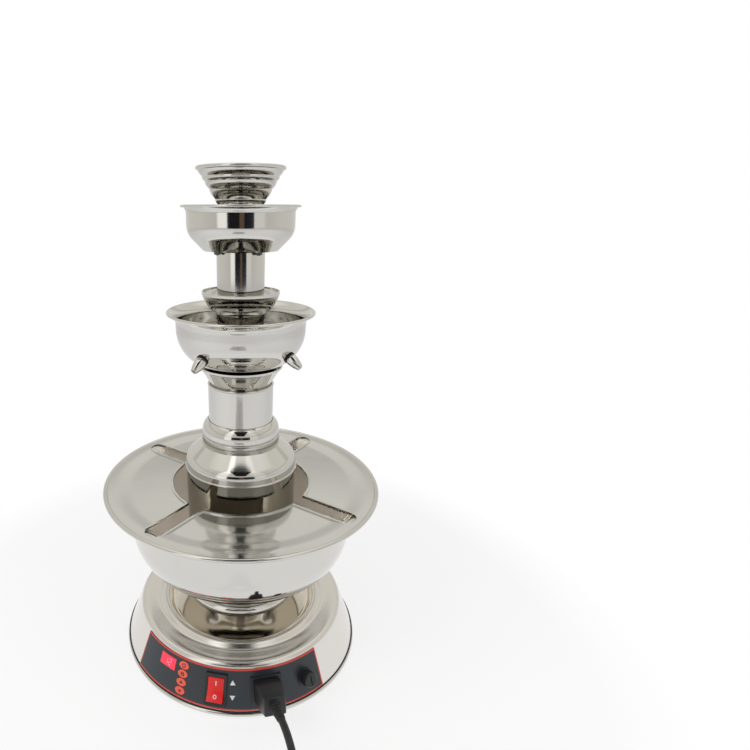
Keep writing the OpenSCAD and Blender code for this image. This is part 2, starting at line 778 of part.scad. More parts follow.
module hem(grow, inset, z, h) {
    translate([0, 0, z]) linear_extrude(h) difference() {
        tray_openings(grow - inset);
        tray_openings(inset);
    }
}
module drip_tray() {
    top = tray_z + tray_t;
    hem_step = 0.5;
    color(satin) {
        translate([0, 0, tray_z]) linear_extrude(tray_t) difference() {
            circle(r = tray_r);
            tray_openings();
        }
        hem(hem_w, 0, top - eps, hem_h - hem_step);
        hem(hem_w, hem_step, top + hem_h - hem_step - 2 * eps, hem_step);
    }
}

// Drum, pump and riser
module drum() {
    ports = 8;
    color(steel) difference() {
        tube(drum_r, sheet, bowl_in_z, drum_h);
        around(ports) translate([drum_r - 4, -5, bowl_in_z - 1]) cube([8, 10, 13]);
    }
}
module pump_body() {
    color(black) difference() {
        union() {
            translate([0, 0, pump_z]) cylinder(r = pump_r, h = pump_h);
            around(3) translate([pump_r - 7, 0, bowl_in_z]) cylinder(r = 4, h = pump_leg_h + eps);
        }
        translate([0, 0, bush_low_z]) cylinder(r = bush_r + snug, h = pump_h);
        translate([0, 0, bush_low_z + bush_h])
            cylinder(r = magnet_r + 1, h = bush_top_z - bush_low_z - bush_h);
    }
}
module pump_cover() {
    spigot_h = 12;
    color(black) difference() {
        union() {
            translate([0, 0, cover_z]) cylinder(r = pump_r, h = pump_cover_h);
            translate([0, 0, cover_top - eps]) cylinder(r = riser_r + 3, h = spigot_h);
        }
        translate([0, 0, cover_z - 1]) cylinder(r = impeller_r + 2, h = pump_cover_h - 6);
        translate([0, 0, cover_z]) cylinder(r = riser_r - 1.4, h = pump_cover_h + spigot_h);
        translate([0, 0, riser_z]) cylinder(r = riser_r + snug, h = pump_cover_h + spigot_h);
        around(6, 30) translate([impeller_r, 0, cover_z + 6]) rotate([0, 90, 0])
            cylinder(r = 3.5, h = pump_r);
    }
}
module pump_bushes() {
    color(brass) for (z = [bush_low_z, bush_top_z]) ring(shaft_r + running, bush_r, z, bush_h);
}
module pump_shaft() {
    color(steel) translate([0, 0, bush_low_z + snug]) cylinder(r = shaft_r, h = cover_z + 9 - bush_low_z);
}
module magnet_rotor() {
    from = bush_low_z + bush_h + 0.5;
    color([0.25, 0.25, 0.28]) ring(shaft_r + running, magnet_r, from, bush_top_z - 0.5 - from);
}
module impeller() {
    low = cover_z + 1;
    disc_h = 1.6;
    blade_h = 8;
    sweep = 1.2 * impeller_r;
    color(white) {
        ring(shaft_r + running, impeller_r, low, disc_h);
        ring(shaft_r + running, shaft_r + 3, low, disc_h + blade_h);
        translate([0, 0, low + disc_h - eps]) linear_extrude(blade_h) intersection() {
            difference() {
                circle(r = impeller_r);
                circle(r = shaft_r + 2.5);
            }
            around(blades) translate([0, sweep]) difference() {
                circle(r = sweep);
                circle(r = sweep - 1.5);
                translate([-2 * sweep, -2 * sweep]) square([2 * sweep, 4 * sweep]);
            }
        }
    }
}
module riser_tube() {
    color(white) tube(riser_r, 1.4, riser_z, riser_top - riser_z);
}

// Lid of the drum and the column
module drum_lid() {
    ring_r = drum_r - sheet - fit;
    color(steel) {
        turned(concat(
            [[lid_r, lid_z]],
            arc([lid_r - lid_round, lid_z + lid_edge_h], lid_round, 0, lid_turn),
            [[neck_r, neck_z], [neck_r, neck_z + neck_h]]));
        ring(bore_r, neck_r - sheet / 2, column_z - sheet, sheet);
        ring(ring_r - sheet, ring_r, lid_z - 6, 8);
        ring(ring_r - sheet, lid_r - sheet / 2, lid_z + eps, 2);
        rolled(lid_r, lid_z + 1.1, 2);
    }
}
module column() {
    color(steel) {
        tube(column_r, sheet, column_z, column_h);
        rolled(column_r - 0.4, column_top - 1, 2);
        ring(column_r - sheet - 4, column_r - sheet / 2, column_top - cup_seat_h - sheet, sheet);
    }
}
module column_collar() {
    base = neck_r - sheet - fit;
    lip_z = column_z + collar_foot_h + 3.5;
    shoulder = [collar_r - collar_round, lip_z + 2.5];
    wall = sheet * 0.7;
    end = acos((column_r + snug - shoulder.x) / (collar_round - wall));
    color(steel) turned(concat(
        [[base, column_z], [base, column_z + collar_foot_h]],
        arc([base, column_z + collar_foot_h + 1], 1, -90, -180, 5),
        arc([collar_r - 1.2, lip_z], 1.2, -60, 0, 5),
        arc(shoulder, collar_round, 0, end, 12)), wall);
}
module column_cup() {
    spigot_r = column_r - sheet - fit;
    rim_h = 1.4;
    color(steel) {
        turned(concat(
            [[spigot_r, column_top - cup_seat_h], [spigot_r, column_top + 1]],
            [for (i = [1:10]) let (u = i / 10)
                [mix(spigot_r, cup_r - 0.8, 0.75 * u + 0.25 * u * u), mix(column_top + 1, mid_z - 1, u)]],
            [[cup_r, mid_z - 0.4], [cup_r, mid_z + rim_h]]));
        ring(bore_r, cup_r - 2, mid_z - sheet, sheet);
    }
}

// Middle bowl and its nozzles
mid_c = [mid_wall_r - mid_corner_r, mid_z + mid_corner_r];
mid_lip_d = 2.4;
module nozzle_place() {
    around(4, slot_az)
        translate([0, -mid_c.x - mid_corner_r * cos(nozzle_drop), mid_c.y - mid_corner_r * sin(nozzle_drop)])
        rotate([90 + nozzle_drop, 0, 0]) children();
}
nozzle_neck_r = 3;
washer_h = 1.2;
nut_gap = sheet + 0.5;
nut_h = 2.8;
module middle_bowl() {
    color(steel) {
        difference() {
            turned(concat(
                [[bore_r, mid_z]],
                arc(mid_c, mid_corner_r, -90, 0, 16),
                flare(mid_wall_r, mid_r - mid_lip_d / 2, mid_flare_r, mid_z + mid_h)));
            nozzle_place() translate([0, 0, -6]) cylinder(r = nozzle_neck_r + snug, h = 12);
        }
        rolled(mid_r - mid_lip_d / 2, mid_z + mid_h + 0.2, mid_lip_d);
    }
}
module nozzles() {
    foot = 0.8;
    spout = nozzle_l - washer_h - foot;
    color(steel) nozzle_place() difference() {
        union() {
            translate([0, 0, washer_h + eps]) cylinder(d1 = nozzle_d - 1.4, d2 = nozzle_d, h = foot);
            translate([0, 0, washer_h + foot]) rotate_extrude() polygon(concat(
                [[0, 0]],
                [for (u = [0:0.125:1]) [mix(nozzle_d, nozzle_tip_d, u * u) / 2, spout * u]],
                [[0, spout]]));
            translate([0, 0, -nut_gap - nut_h - 1])
                cylinder(r = nozzle_neck_r, h = nut_gap + nut_h + 2 + washer_h);
        }
        translate([0, 0, -10]) cylinder(d = 3.4, h = nozzle_l + 20);
    }
}
module nozzle_washers() {
    color(rubber) nozzle_place() difference() {
        cylinder(d = nozzle_d + 0.8, h = washer_h);
        translate([0, 0, -1]) cylinder(r = nozzle_neck_r + snug, h = washer_h + 2);
    }
}
module nozzle_nuts() {
    color(steel) nozzle_place() difference() {
        hexagon(nozzle_neck_r + 2, -nut_gap - nut_h, nut_h);
        translate([0, 0, -nut_gap - nut_h - 1]) cylinder(r = nozzle_neck_r + snug, h = nut_h + 2);
    }
}

// Tower tubes, small dish and top bowl
module lower_tube() {
    color(steel) tube(tube_r, sheet, tube_z, tube_low_h);
}
module small_dish() {
    guide_r = tube_r - sheet - fit;
    rim_z = dish_z + dish_h;
    color(steel) {
        turned(concat(
            [[bore_r, dish_z]],
            bulge([tube_r + 0.5, dish_z], [dish_r, rim_z - 2], dish_round),
            [[dish_r, rim_z]]));
        ring(guide_r - sheet, guide_r, dish_z + sheet / 2, 10);
    }
}
module upper_tube() {
    color(steel) tube(tube_r, sheet, upper_z, tube_up_h);
}
top_lip_d = 2;
bolt_ring_r = tube_r + 3.6;
bolt_r = 1.5;
pedestal_flange_r = bolt_ring_r + 4;
module bolt_place() {
    around(4, 45) translate([bolt_ring_r, 0, 0]) children();
}
module top_bowl() {
    c = [top_wall_r - top_corner_r, 0];
    foot = c.x + top_corner_r * cos(45);
    bend_z = top_z + foot - top_flat_r + top_corner_r * sin(45);
    color(steel) {
        difference() {
            turned(concat(
                [[bore_r, top_z], [top_flat_r, top_z]],
                arc([c.x, bend_z], top_corner_r, -45, 0),
                flare(top_wall_r, top_r - top_lip_d / 2, top_flare_r, top_z + top_h)));
            bolt_place() translate([0, 0, top_z - 1]) cylinder(r = bolt_r + snug, h = sheet + 2);
        }
        rolled(top_r - top_lip_d / 2, top_z + top_h + 0.2, top_lip_d);
    }
}
module bowl_bolts() {
    deck = pedestal_z + sheet;
    color([0.2, 0.2, 0.2]) bolt_place() {
        translate([0, 0, deck]) cylinder(r1 = 3, r2 = 2, h = 2);
        translate([0, 0, top_z - 3]) cylinder(r = bolt_r, h = deck - top_z + 3 + eps);
        difference() {
            hexagon(3.2, top_z - 2.4, 2.4);
            translate([0, 0, top_z - 4]) cylinder(r = bolt_r + snug / 2, h = 6);
        }
    }
}
module cone_pedestal() {
    color(steel) difference() {
        union() {
            tube(pedestal_r, sheet, pedestal_z, pedestal_h);
            ring(pedestal_r - sheet, pedestal_flange_r, pedestal_z, sheet);
        }
        bolt_place() translate([0, 0, pedestal_z - 1]) cylinder(r = bolt_r + snug, h = sheet + 2);
        around(4) translate([0, 0, pedestal_z + 5]) rotate([90, 0, 0]) cylinder(r = 2.5, h = 2 * pedestal_r);
    }
}
module top_cone() {
    roll = 3;
    starts = concat([0], cone_bands);
    guide_r = pedestal_r - sheet - fit;
    rim = [cone_r - roll / 2 - 0.4, cone_z + cone_h - roll / 2];
    color(steel) {
        turned(concat(
            [[bore_r, cone_z]],
            [for (b = [0:len(cone_bands) - 1], i = [0:8]) let (u = mix(starts[b], cone_bands[b], i / 8))
                [mix(cone_base_r, rim.x, u) + band_d * sin(180 * i / 8), mix(cone_z, rim.y, u)]]));
        rolled(cone_r - roll / 2, rim.y, roll);
        ring(guide_r - sheet, guide_r, cone_z - 8, 8 + sheet / 2);
    }
}

// Cord: connector, strain relief, lead, coil, tie and plug
function coil_radius(t) =
    t < coil_in ? coil_r - coil_step * t
    : t < coil_in + 0.5 ? coil_r - coil_step * coil_in - coil_nip * sin(360 * (t - coil_in))
    : coil_r - coil_step * (2 * coil_in + 0.5 - t);
function coil_height(t) =
    t < coil_in ? coil_low
    : t < coil_in + 0.5 ? coil_low + coil_climb * (1 - cos(360 * (t - coil_in))) / 2
    : coil_high;
function coil_point(t) =
    let (a = coil_start - 360 * t, r = coil_radius(t))
    [coil_c.x + r * cos(a), coil_c.y + r * sin(a), coil_height(t)];
coil_in_way = [sin(coil_start), -cos(coil_start), 0];
coil_out_way = [sin(coil_start - 360 * coil_turns), -cos(coil_start - 360 * coil_turns), 0];
coil_enter = coil_point(0) - (cord_d + 0.5) * coil_in_way;
coil_leave = coil_point(coil_turns) + cord_d * coil_out_way;
lead_rise = 50;
lead_fall = 38;
lead_count = 26;
lead_turns = [
    axis_at(relief_end), axis_at(relief_end + lead_rise), coil_enter - lead_fall * coil_in_way, coil_enter];
lead_path = [for (i = [0:lead_count]) bezier(lead_turns, i / lead_count)];
coil_count = round(coil_rings * coil_turns);
coil_path = concat(
    [coil_enter], [for (i = [0:coil_count]) coil_point(coil_turns * i / coil_count)], [coil_leave]);
function way(p, i) = unit(p[min(i + 1, len(p) - 1)] - p[max(i - 1, 0)]);
function swept_ring(p, i, sides, d, from, to) =
    let (t = i == 0 ? from : i == len(p) - 1 ? to : way(p, i))
    let (s = unit(cross(t, [0, 0, 1])), u = cross(s, t))
    [for (k = [0:sides - 1]) p[i] + d / 2 * (cos(360 * k / sides) * s + sin(360 * k / sides) * u)];
// A tube swept along a path: its two ends are square to the ways given
module swept(p, sides, d, from, to) {
    n = len(p);
    points = [for (i = [0:n - 1]) each swept_ring(p, i, sides, d, from, to)];
    walls = [for (i = [0:n - 2], k = [0:sides - 1])
        let (a = i * sides + k, b = i * sides + (k + 1) % sides)
        each [[a, b, b + sides], [a, b + sides, a + sides]]];
    last = (n - 1) * sides;
    caps = [for (k = [1:sides - 2]) each [[0, k + 1, k], [last, last + k, last + k + 1]]];
    polyhedron(points, concat(walls, caps));
}
least_gap = min([for (i = [0:len(coil_path) - 1]) for (j = [i + 14:1:len(coil_path) - 1])
    norm(coil_path[i] - coil_path[j])]) - cord_d;
echo(str("least gap between the coil's turns: ", least_gap));
module cord_frame() {
    rotate([0, 0, inlet_az]) children();
}
module cord_connector() {
    grip = face + cap_flange_t + snug;
    grip_l = 9;
    grip_end = [20, 16.5];
    color(black) on_skirt(inlet_az, inlet_z) difference() {
        union() {
            block(socket_w - 2 * fit, socket_h - 2 * fit, -inlet_d + 6, grip + eps);
            hull() {
                block(socket_w + 1, socket_h + 2, grip, grip + grip_l);
                block(grip_end.x, grip_end.y, connector_l - 1, connector_l);
            }
        }
        for (p = pin_rows) translate([p.x, p.y, 0]) 
            block(inlet_pin.x + 2 * fit, inlet_pin.y + 2 * fit, -inlet_d, 2 * fit - inlet_pin.y);
    }
}
module cord_relief() {
    grooves = 4;
    step = relief_l / (grooves + 1);
    color(black) on_skirt(inlet_az, inlet_z) translate([0, 0, connector_l]) difference() {
        cylinder(d1 = cord_d + 4.5, d2 = cord_d + 1, h = relief_l);
        for (i = [1:grooves]) ring(cord_d / 2 + 0.6, cord_d + 4, i * step - 0.8, 1.6);
    }
}
module cord_lead() {
    color(black) cord_frame()
        swept(lead_path, 8, cord_d, unit(axis_at(1) - axis_at(0)), coil_in_way);
}
module cord_coil() {
    color(black) cord_frame()
        swept(coil_path, 6, cord_d, coil_in_way, coil_out_way);
}
module cord_tie() {
    room = 0.4;
    span = coil_step * (coil_in - 0.2) + cord_d + 2 * room;
    high = coil_climb + cord_d + room;
    middle = coil_r - coil_step * coil_in / 2;
    width = 9;
    color(black) cord_frame() translate([coil_c.x, coil_c.y, 0]) rotate([0, 0, tie_az])
        translate([middle, 0, tie_t + high / 2]) difference() {
            cube([span + 2 * tie_t, width, high + 2 * tie_t], center = true);
            cube([span, width + 2, high], center = true);
        }
}
module cord_plug() {
    thick = 2 * coil_high;
    wide = 26;
    neck = 20;
    root = [12, 11];
    taper = 9;
    blade = [1.5, 6.4, 17];
    blade_at = 6.3;
    earth = [4.8, 19];
    earth_at = -6;
    turn = coil_start - 360 * coil_turns;
    color(black) cord_frame() translate(coil_leave) rotate([0, 0, turn]) rotate([90, 0, 0]) {
        cylinder(d1 = cord_d + 1, d2 = cord_d + 5, h = neck);
        hull() {
            block(root.x, root.y, neck - eps, neck + 1);
            block(wide, thick, neck + taper, neck + plug_l);
        }
        translate([0, 0, neck + plug_l - eps]) {
            for (s = [-1, 1]) translate([s * blade_at, 0, 0]) block(blade.x, blade.y, 0, blade.z);
            translate([0, earth_at, 0]) cylinder(d = earth.x, h = earth.y);
        }
    }
}

rubber_feet();
bottom_plate();
base_screws();
base_flange();
base_seal();
base_skirt();
base_saucer();
control_panel();
panel_border();
display_window();
display_module();
key_board();
key_1();
key_2();
key_3();
key_4();
rocker_housing();
rocker();
inlet_housing();
inlet_pins();
fuse_holder();
fuse_cap();
fuse_link();
control_board();
board_standoffs();
power_supply();
bowl_foot();
stem_tube();
stem_nuts();
lower_bowl();
drip_tray();
drum();
pump_body();
pump_cover();
pump_bushes();
pump_shaft();
magnet_rotor();
impeller();
riser_tube();
drum_lid();
column();
column_collar();
column_cup();
middle_bowl();
nozzles();
nozzle_washers();
nozzle_nuts();
lower_tube();
small_dish();
upper_tube();
top_bowl();
bowl_bolts();
cone_pedestal();
top_cone();
cord_connector();
cord_relief();
cord_lead();
cord_coil();
cord_tie();
cord_plug();
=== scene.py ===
"""Polished steel beverage fountain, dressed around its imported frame."""

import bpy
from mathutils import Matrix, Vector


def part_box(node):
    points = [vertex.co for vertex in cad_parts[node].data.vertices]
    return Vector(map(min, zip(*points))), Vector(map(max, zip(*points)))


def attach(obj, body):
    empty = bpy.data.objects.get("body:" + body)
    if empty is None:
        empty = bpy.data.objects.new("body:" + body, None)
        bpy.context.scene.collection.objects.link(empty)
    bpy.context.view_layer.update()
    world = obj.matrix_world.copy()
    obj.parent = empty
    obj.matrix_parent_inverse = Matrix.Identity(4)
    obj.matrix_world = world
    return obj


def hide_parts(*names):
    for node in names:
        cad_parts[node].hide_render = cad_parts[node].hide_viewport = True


bl_info = {
    "name": "Beverage fountain",
    "version": (1, 0, 0),
    "blender": (4, 5, 0),
    "location": "View3D > Sidebar > Fountain",
    "description": "Builds a pumped table fountain of turned steel with its panel, cord and studio",
    "category": "Add Mesh",
}

from math import acos, asin, atan2, cos, degrees, hypot, pi, radians, sin, sqrt, tan

import bmesh
import bpy
from mathutils import Matrix, Vector

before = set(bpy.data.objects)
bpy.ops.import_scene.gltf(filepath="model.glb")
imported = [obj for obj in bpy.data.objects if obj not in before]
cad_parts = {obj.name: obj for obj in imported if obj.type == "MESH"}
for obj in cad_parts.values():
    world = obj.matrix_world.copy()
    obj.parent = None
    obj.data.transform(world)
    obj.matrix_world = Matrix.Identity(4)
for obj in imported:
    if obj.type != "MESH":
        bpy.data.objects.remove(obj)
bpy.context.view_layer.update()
# A millimetre in metres, and the distance at which two vertices count as one
MM = 0.001
TWIN = 1e-6


class FountainSizes(bpy.types.PropertyGroup):
    """Sizes that the looks add to the frame."""

    turn_steps: bpy.props.IntProperty(
        name="Turning steps", description="Faces round a turned shell", default=192, min=48, max=256)
    cord_diameter: bpy.props.FloatProperty(
        name="Cord", description="Diameter of the power cord", default=6.5 * MM, unit="LENGTH")
    edge: bpy.props.FloatProperty(
        name="Edge", description="Rounding of moulded edges", default=0.4 * MM, unit="LENGTH")


class FountainColours(bpy.types.PropertyGroup):
    """Colours of the finishes."""

    steel: bpy.props.FloatVectorProperty(
        name="Steel", description="Tint of the polished steel", subtype="COLOR",
        default=(0.65, 0.638, 0.608))
    panel: bpy.props.FloatVectorProperty(
        name="Panel", description="Overlay of the control panel", subtype="COLOR",
        default=(0.017, 0.023, 0.028))
    border: bpy.props.FloatVectorProperty(
        name="Border", description="Line round the control panel", subtype="COLOR",
        default=(0.58, 0.045, 0.03))
    key: bpy.props.FloatVectorProperty(
        name="Keys", description="Oval keys", subtype="COLOR",
        default=(0.80, 0.105, 0.062))
    rocker: bpy.props.FloatVectorProperty(
        name="Rocker", description="Rocker of the power switch", subtype="COLOR",
        default=(0.66, 0.008, 0.008))
    display: bpy.props.FloatVectorProperty(
        name="Display", description="Lit display window", subtype="COLOR",
        default=(0.80, 0.016, 0.045))


class FountainStudio(bpy.types.PropertyGroup):
    """Light and camera."""

    lens: bpy.props.FloatProperty(name="Lens", description="Focal length in millimetres", default=24.94)
    key_power: bpy.props.FloatProperty(
        name="Key light", description="Power of the large soft light", default=9.0, unit="POWER")
    fill_power: bpy.props.FloatProperty(
        name="Fill light", description="Power of the second soft light", default=5.0, unit="POWER")
    basin_power: bpy.props.FloatProperty(
        name="Basin light", description="Power of each small light inside the basin", default=0.12,
        unit="POWER")
    floor: bpy.props.FloatVectorProperty(
        name="Floor", description="Colour of the floor", subtype="COLOR", default=(0.86, 0.86, 0.86))


def sizes():
    return bpy.context.scene.fountain_sizes


def colours():
    return bpy.context.scene.fountain_colours


def studio():
    return bpy.context.scene.fountain_studio


# Shader maths

class Value:
    """A socket of a finish. Arithmetic on it adds Math nodes."""

    def __init__(self, nodes, socket):
        self.nodes = nodes
        self.socket = socket

    def maths(self, operation, a, b):
        return self.nodes.add("ShaderNodeMath", {"operation": operation}, {0: a, 1: b})

    def __add__(self, other):
        return self.maths("ADD", self, other)

    __radd__ = __add__

    def __sub__(self, other):
        return self.maths("SUBTRACT", self, other)

    def __rsub__(self, other):
        return self.maths("SUBTRACT", other, self)

    def __mul__(self, other):
        return self.maths("MULTIPLY", self, other)

    __rmul__ = __mul__

    def __truediv__(self, other):
        return self.maths("DIVIDE", self, other)

    def __rtruediv__(self, other):
        return self.maths("DIVIDE", other, self)

    def __pow__(self, other):
        return self.maths("POWER", self, other)


class Nodes:
    """The node tree of a finish, with one way to add a node."""

    def __init__(self, tree):
        self.tree = tree

    def add(self, kind, settings=None, sockets=None, out=0):
        node = self.tree.nodes.new(kind)
        for key, value in (settings or {}).items():
            if key == "stops":
                ramp = node.color_ramp
                while len(ramp.elements) < len(value):
                    ramp.elements.new(1.0)
                for element, (position, colour) in zip(ramp.elements, value):
                    element.position = position
                    element.color = (*colour, 1.0)
            else:
                setattr(node, key, value)
        for key, value in (sockets or {}).items():
            if isinstance(value, Value):
                self.tree.links.new(value.socket, node.inputs[key])
            else:
                node.inputs[key].default_value = value
        return Value(self, node.outputs[out])

    def place(self):
        """The place in the piece's own coordinates, whole and as X, Y and Z."""
        where = self.add("ShaderNodeTexCoord", out=3)
        split = self.add("ShaderNodeSeparateXYZ", None, {0: where})
        outputs = split.socket.node.outputs
        return where, [Value(self, outputs[i]) for i in range(3)]

    def rays(self, *kinds):
        """What Light Path says of the named kinds of ray."""
        outputs = self.add("ShaderNodeLightPath").socket.node.outputs
        return [Value(self, outputs[f"Is {kind} Ray"]) for kind in kinds]

    def noise(self, vector, scale, detail=2.0, rough=0.5):
        return self.add("ShaderNodeTexNoise", None,
                        {"Vector": vector, "Scale": scale, "Detail": detail, "Roughness": rough})

    def blend(self, factor, a, b):
        """A colour between a and b."""
        return self.add("ShaderNodeMix", {"data_type": "RGBA"}, {0: factor, 6: a, 7: b}, out=2)

    def bump(self, height, strength, distance):
        return self.add("ShaderNodeBump", None,
                        {"Height": height, "Strength": strength, "Distance": distance})


def finish(name, **constants):
    """A new material: its Principled shader's constants are set, and its nodes are returned."""
    material = bpy.data.materials.new(name)
    material.use_nodes = True
    nodes = Nodes(material.node_tree)
    shader = material.node_tree.nodes["Principled BSDF"]
    for key, value in constants.items():
        shader.inputs[key.replace("_", " ").title().replace("Ior", "IOR")].default_value = value

    def feed(**values):
        for key, value in values.items():
            target = shader.inputs[key.replace("_", " ").title()]
            material.node_tree.links.new(value.socket, target)
    return material, nodes, feed


def rgba(colour, shade=1.0):
    return (*(min(1.0, c * shade) for c in colour), 1.0)


def turned_steel(name, tint, rough):
    """Steel polished on a lathe: faint rings round the axis and soft smears."""
    ring_scale, smear_scale, spot_scale, ring_bump, ring_depth = 1400.0, 38.0, 9.0, 0.02, 0.0002
    material, nodes, feed = finish(name, metallic=1.0)
    where, (x, y, z) = nodes.place()
    rings = nodes.add("ShaderNodeCombineXYZ", None, {0: (x * x + y * y) ** 0.5, 1: z})
    lines = nodes.noise(rings, ring_scale, 3.0, 0.6)
    smears = nodes.noise(where, smear_scale, 3.0, 0.55)
    spots = nodes.noise(where, spot_scale)
    feed(
        base_color=nodes.blend(smears * 0.35 + spots * 0.35, rgba(tint, 0.94), rgba(tint, 1.05)),
        roughness=rough + (lines - 0.5) * (rough * 0.35) + (smears - 0.5) * (rough * 0.9),
        normal=nodes.bump(lines, ring_bump, ring_depth),
    )
    return material


def brushed_sheet(name, tint, rough, shine=1.0):
    """Flat sheet with a satin polish in short strokes."""
    stretch, grain_scale, cloud_scale, grain_bump, grain_depth = 0.12, 1500.0, 24.0, 0.03, 0.0002
    material, nodes, feed = finish(name, metallic=shine)
    where, (x, y, z) = nodes.place()
    strokes = nodes.add("ShaderNodeCombineXYZ", None, {0: x * stretch, 1: y, 2: z})
    grain = nodes.noise(strokes, grain_scale, 3.0, 0.6)
    clouds = nodes.noise(where, cloud_scale, 3.0)
    feed(
        base_color=nodes.blend(clouds, rgba(tint, 0.93), rgba(tint, 1.04)),
        roughness=rough + (grain - 0.5) * 0.05 + (clouds - 0.5) * 0.08,
        normal=nodes.bump(grain, grain_bump, grain_depth),
    )
    return material


def moulded(name, colour, rough, grain=0.12, coat=0.0):
    """Moulded plastic or rubber: fine grain, a little dust and wear."""
    grain_scale, wear_scale, grain_depth = 2600.0, 70.0, 0.0001
    material, nodes, feed = finish(name, coat_weight=coat, coat_roughness=0.08)
    where = nodes.place()[0]
    fine = nodes.noise(where, grain_scale, 2.0, 0.6)
    worn = nodes.noise(where, wear_scale, 4.0, 0.6)
    feed(
        base_color=nodes.blend(worn, rgba(colour, 0.88), rgba(colour, 1.1)),
        roughness=rough + (worn - 0.5) * 0.14 + (fine - 0.5) * 0.06,
        normal=nodes.bump(fine, grain, grain_depth),
    )
    return material


def lit(name, colour, strength):
    """A lit window with a slightly uneven glow."""
    material, nodes, feed = finish(name, roughness=0.22, coat_weight=0.4, emission_strength=strength)
    cell_scale = 420.0
    cells = nodes.noise(nodes.place()[0], cell_scale)
    feed(
        base_color=nodes.blend(cells, rgba(colour, 0.8), rgba(colour, 1.0)),
        emission_color=nodes.blend(cells, rgba(colour, 0.85), rgba(colour, 1.12)),
    )
    return material


FINISHES = {}


def finish_of(name):
    """The named finish, made on its first use."""
    if name not in FINISHES:
        c = colours()
        maker, *values = {
            "polished steel": (turned_steel, c.steel, 0.085),
            "soft steel": (turned_steel, (0.73, 0.705, 0.67), 0.19),
            "warm steel": (turned_steel, (0.80, 0.755, 0.67), 0.10),
            # darker copy of the polished steel, for the drum: painted shade standing in for the dark
            # reflections the drum shows
            "shaded steel": (turned_steel, (0.25, 0.245, 0.215), 0.085),
            "satin sheet": (brushed_sheet, (0.66, 0.66, 0.64), 0.10),
            "satin inside": (brushed_sheet, (0.66, 0.60, 0.51), 0.45, 0.25),
            "zinc": (brushed_sheet, (0.6, 0.6, 0.58), 0.3),
            "dark steel": (turned_steel, (0.10, 0.10, 0.10), 0.3),
            "brass": (turned_steel, (0.75, 0.55, 0.25), 0.25),
            "rubber": (moulded, (0.012, 0.012, 0.013), 0.6),
            "black plastic": (moulded, (0.010, 0.011, 0.013), 0.38),
            "panel film": (moulded, c.panel, 0.34, 0.05),
            "border ink": (moulded, c.border, 0.34, 0.04),
            "key cap": (moulded, c.key, 0.32, 0.05),
            "dark ink": (moulded, (0.03, 0.01, 0.01), 0.4, 0.03),
            "white ink": (moulded, (0.72, 0.72, 0.72), 0.4, 0.03),
            "red rocker": (moulded, c.rocker, 0.32, 0.02, 0.1),
            "display": (lit, c.display, 0.42),
            "digits": (lit, (1.0, 0.13, 0.26), 1.25),
            "white plastic": (moulded, (0.7, 0.7, 0.67), 0.4),
            "board": (moulded, (0.02, 0.10, 0.045), 0.45),
            "magnet": (moulded, (0.06, 0.06, 0.065), 0.5),
            "cord sheath": (moulded, (0.012, 0.012, 0.013), 0.48, 0.2),
        }[name]
        FINISHES[name] = maker(name, *values)
    return FINISHES[name]


# Profiles, in millimetres: a path is the outer face of a sheet, from the axis outwards or from below up

def arc(centre, r, start, end, n=14):
    return [(centre[0] + r * cos(radians(start + (end - start) * i / n)),
             centre[1] + r * sin(radians(start + (end - start) * i / n))) for i in range(n + 1)]


def bulge(p, q, r, n=16):
    """An arc of radius r from p to q, with its middle on the left."""
    way = (Vector(q) - Vector(p)).normalized()
    half = (Vector(q) - Vector(p)).length / 2
    c = (Vector(p) + Vector(q)) / 2 + sqrt(r * r - half * half) * Vector((-way.y, way.x))
    return arc(c, r, degrees(atan2(p[1] - c.y, p[0] - c.x)), degrees(atan2(q[1] - c.y, q[0] - c.x)), n)


def flare(wall_r, lip_r, r, lip_z, n=14):
    """The outward curl at the top of a bowl's wall."""
    turn = degrees(acos((wall_r + r - lip_r) / r))
    return arc((wall_r + r, lip_z - r * sin(radians(turn))), r, 180, 180 - turn, n)


def without_doubles(path, least=0.02):
    kept = [path[0]]
    for p in path[1:]:
        if hypot(p[0] - kept[-1][0], p[1] - kept[-1][1]) > least:
            kept.append(p)
    return kept


def beside(path, wall):
    """The path moved to its left by the wall's thickness."""
    sides = []
    for a, b in zip(path, path[1:]):
        length = hypot(b[0] - a[0], b[1] - a[1])
        sides.append((-(b[1] - a[1]) / length, (b[0] - a[0]) / length))
    moved = []
    for i, p in enumerate(path):
        n = sides[max(i - 1, 0)]
        m = sides[min(i, len(sides) - 1)]
        share = wall / (1 + n[0] * m[0] + n[1] * m[1])
        moved.append((p[0] + (n[0] + m[0]) * share, p[1] + (n[1] + m[1]) * share))
    return moved


def walled(path, wall, lip=0.0, lip_up=0.0):
    """A closed outline: the path, a rolled lip at its end if any, and the inner face back to the start."""
    outer = without_doubles(path)
    inner = beside(outer, wall)
    if lip:
        centre = (outer[-1][0], outer[-1][1] + lip_up)
        rolled = arc(centre, lip / 2, -100, 165, 22)
        outer = outer[:-1] + rolled
        inner = inner[:-1]
    return outer + inner[::-1]


# Modelling by hand

def turned(angle, axis="Z"):
    """A turn about an axis, in degrees."""
    return Matrix.Rotation(radians(angle), 4, axis)


def shifted(x, y, z=0.0):
    """A move in millimetres."""
    return Matrix.Translation((x * MM, y * MM, z * MM))


def clear():
    """Object mode, with nothing selected."""
    if bpy.context.object and bpy.context.object.mode != "OBJECT":
        leave()
    bpy.ops.object.select_all(action="DESELECT")


def take(piece):
    """Makes a piece the only one selected, and the active one."""
    clear()
    piece.select_set(True)
    bpy.context.view_layer.objects.active = piece


def edit(piece):
    take(piece)
    bpy.ops.object.mode_set(mode="EDIT")


def leave():
    bpy.ops.object.mode_set(mode="OBJECT")


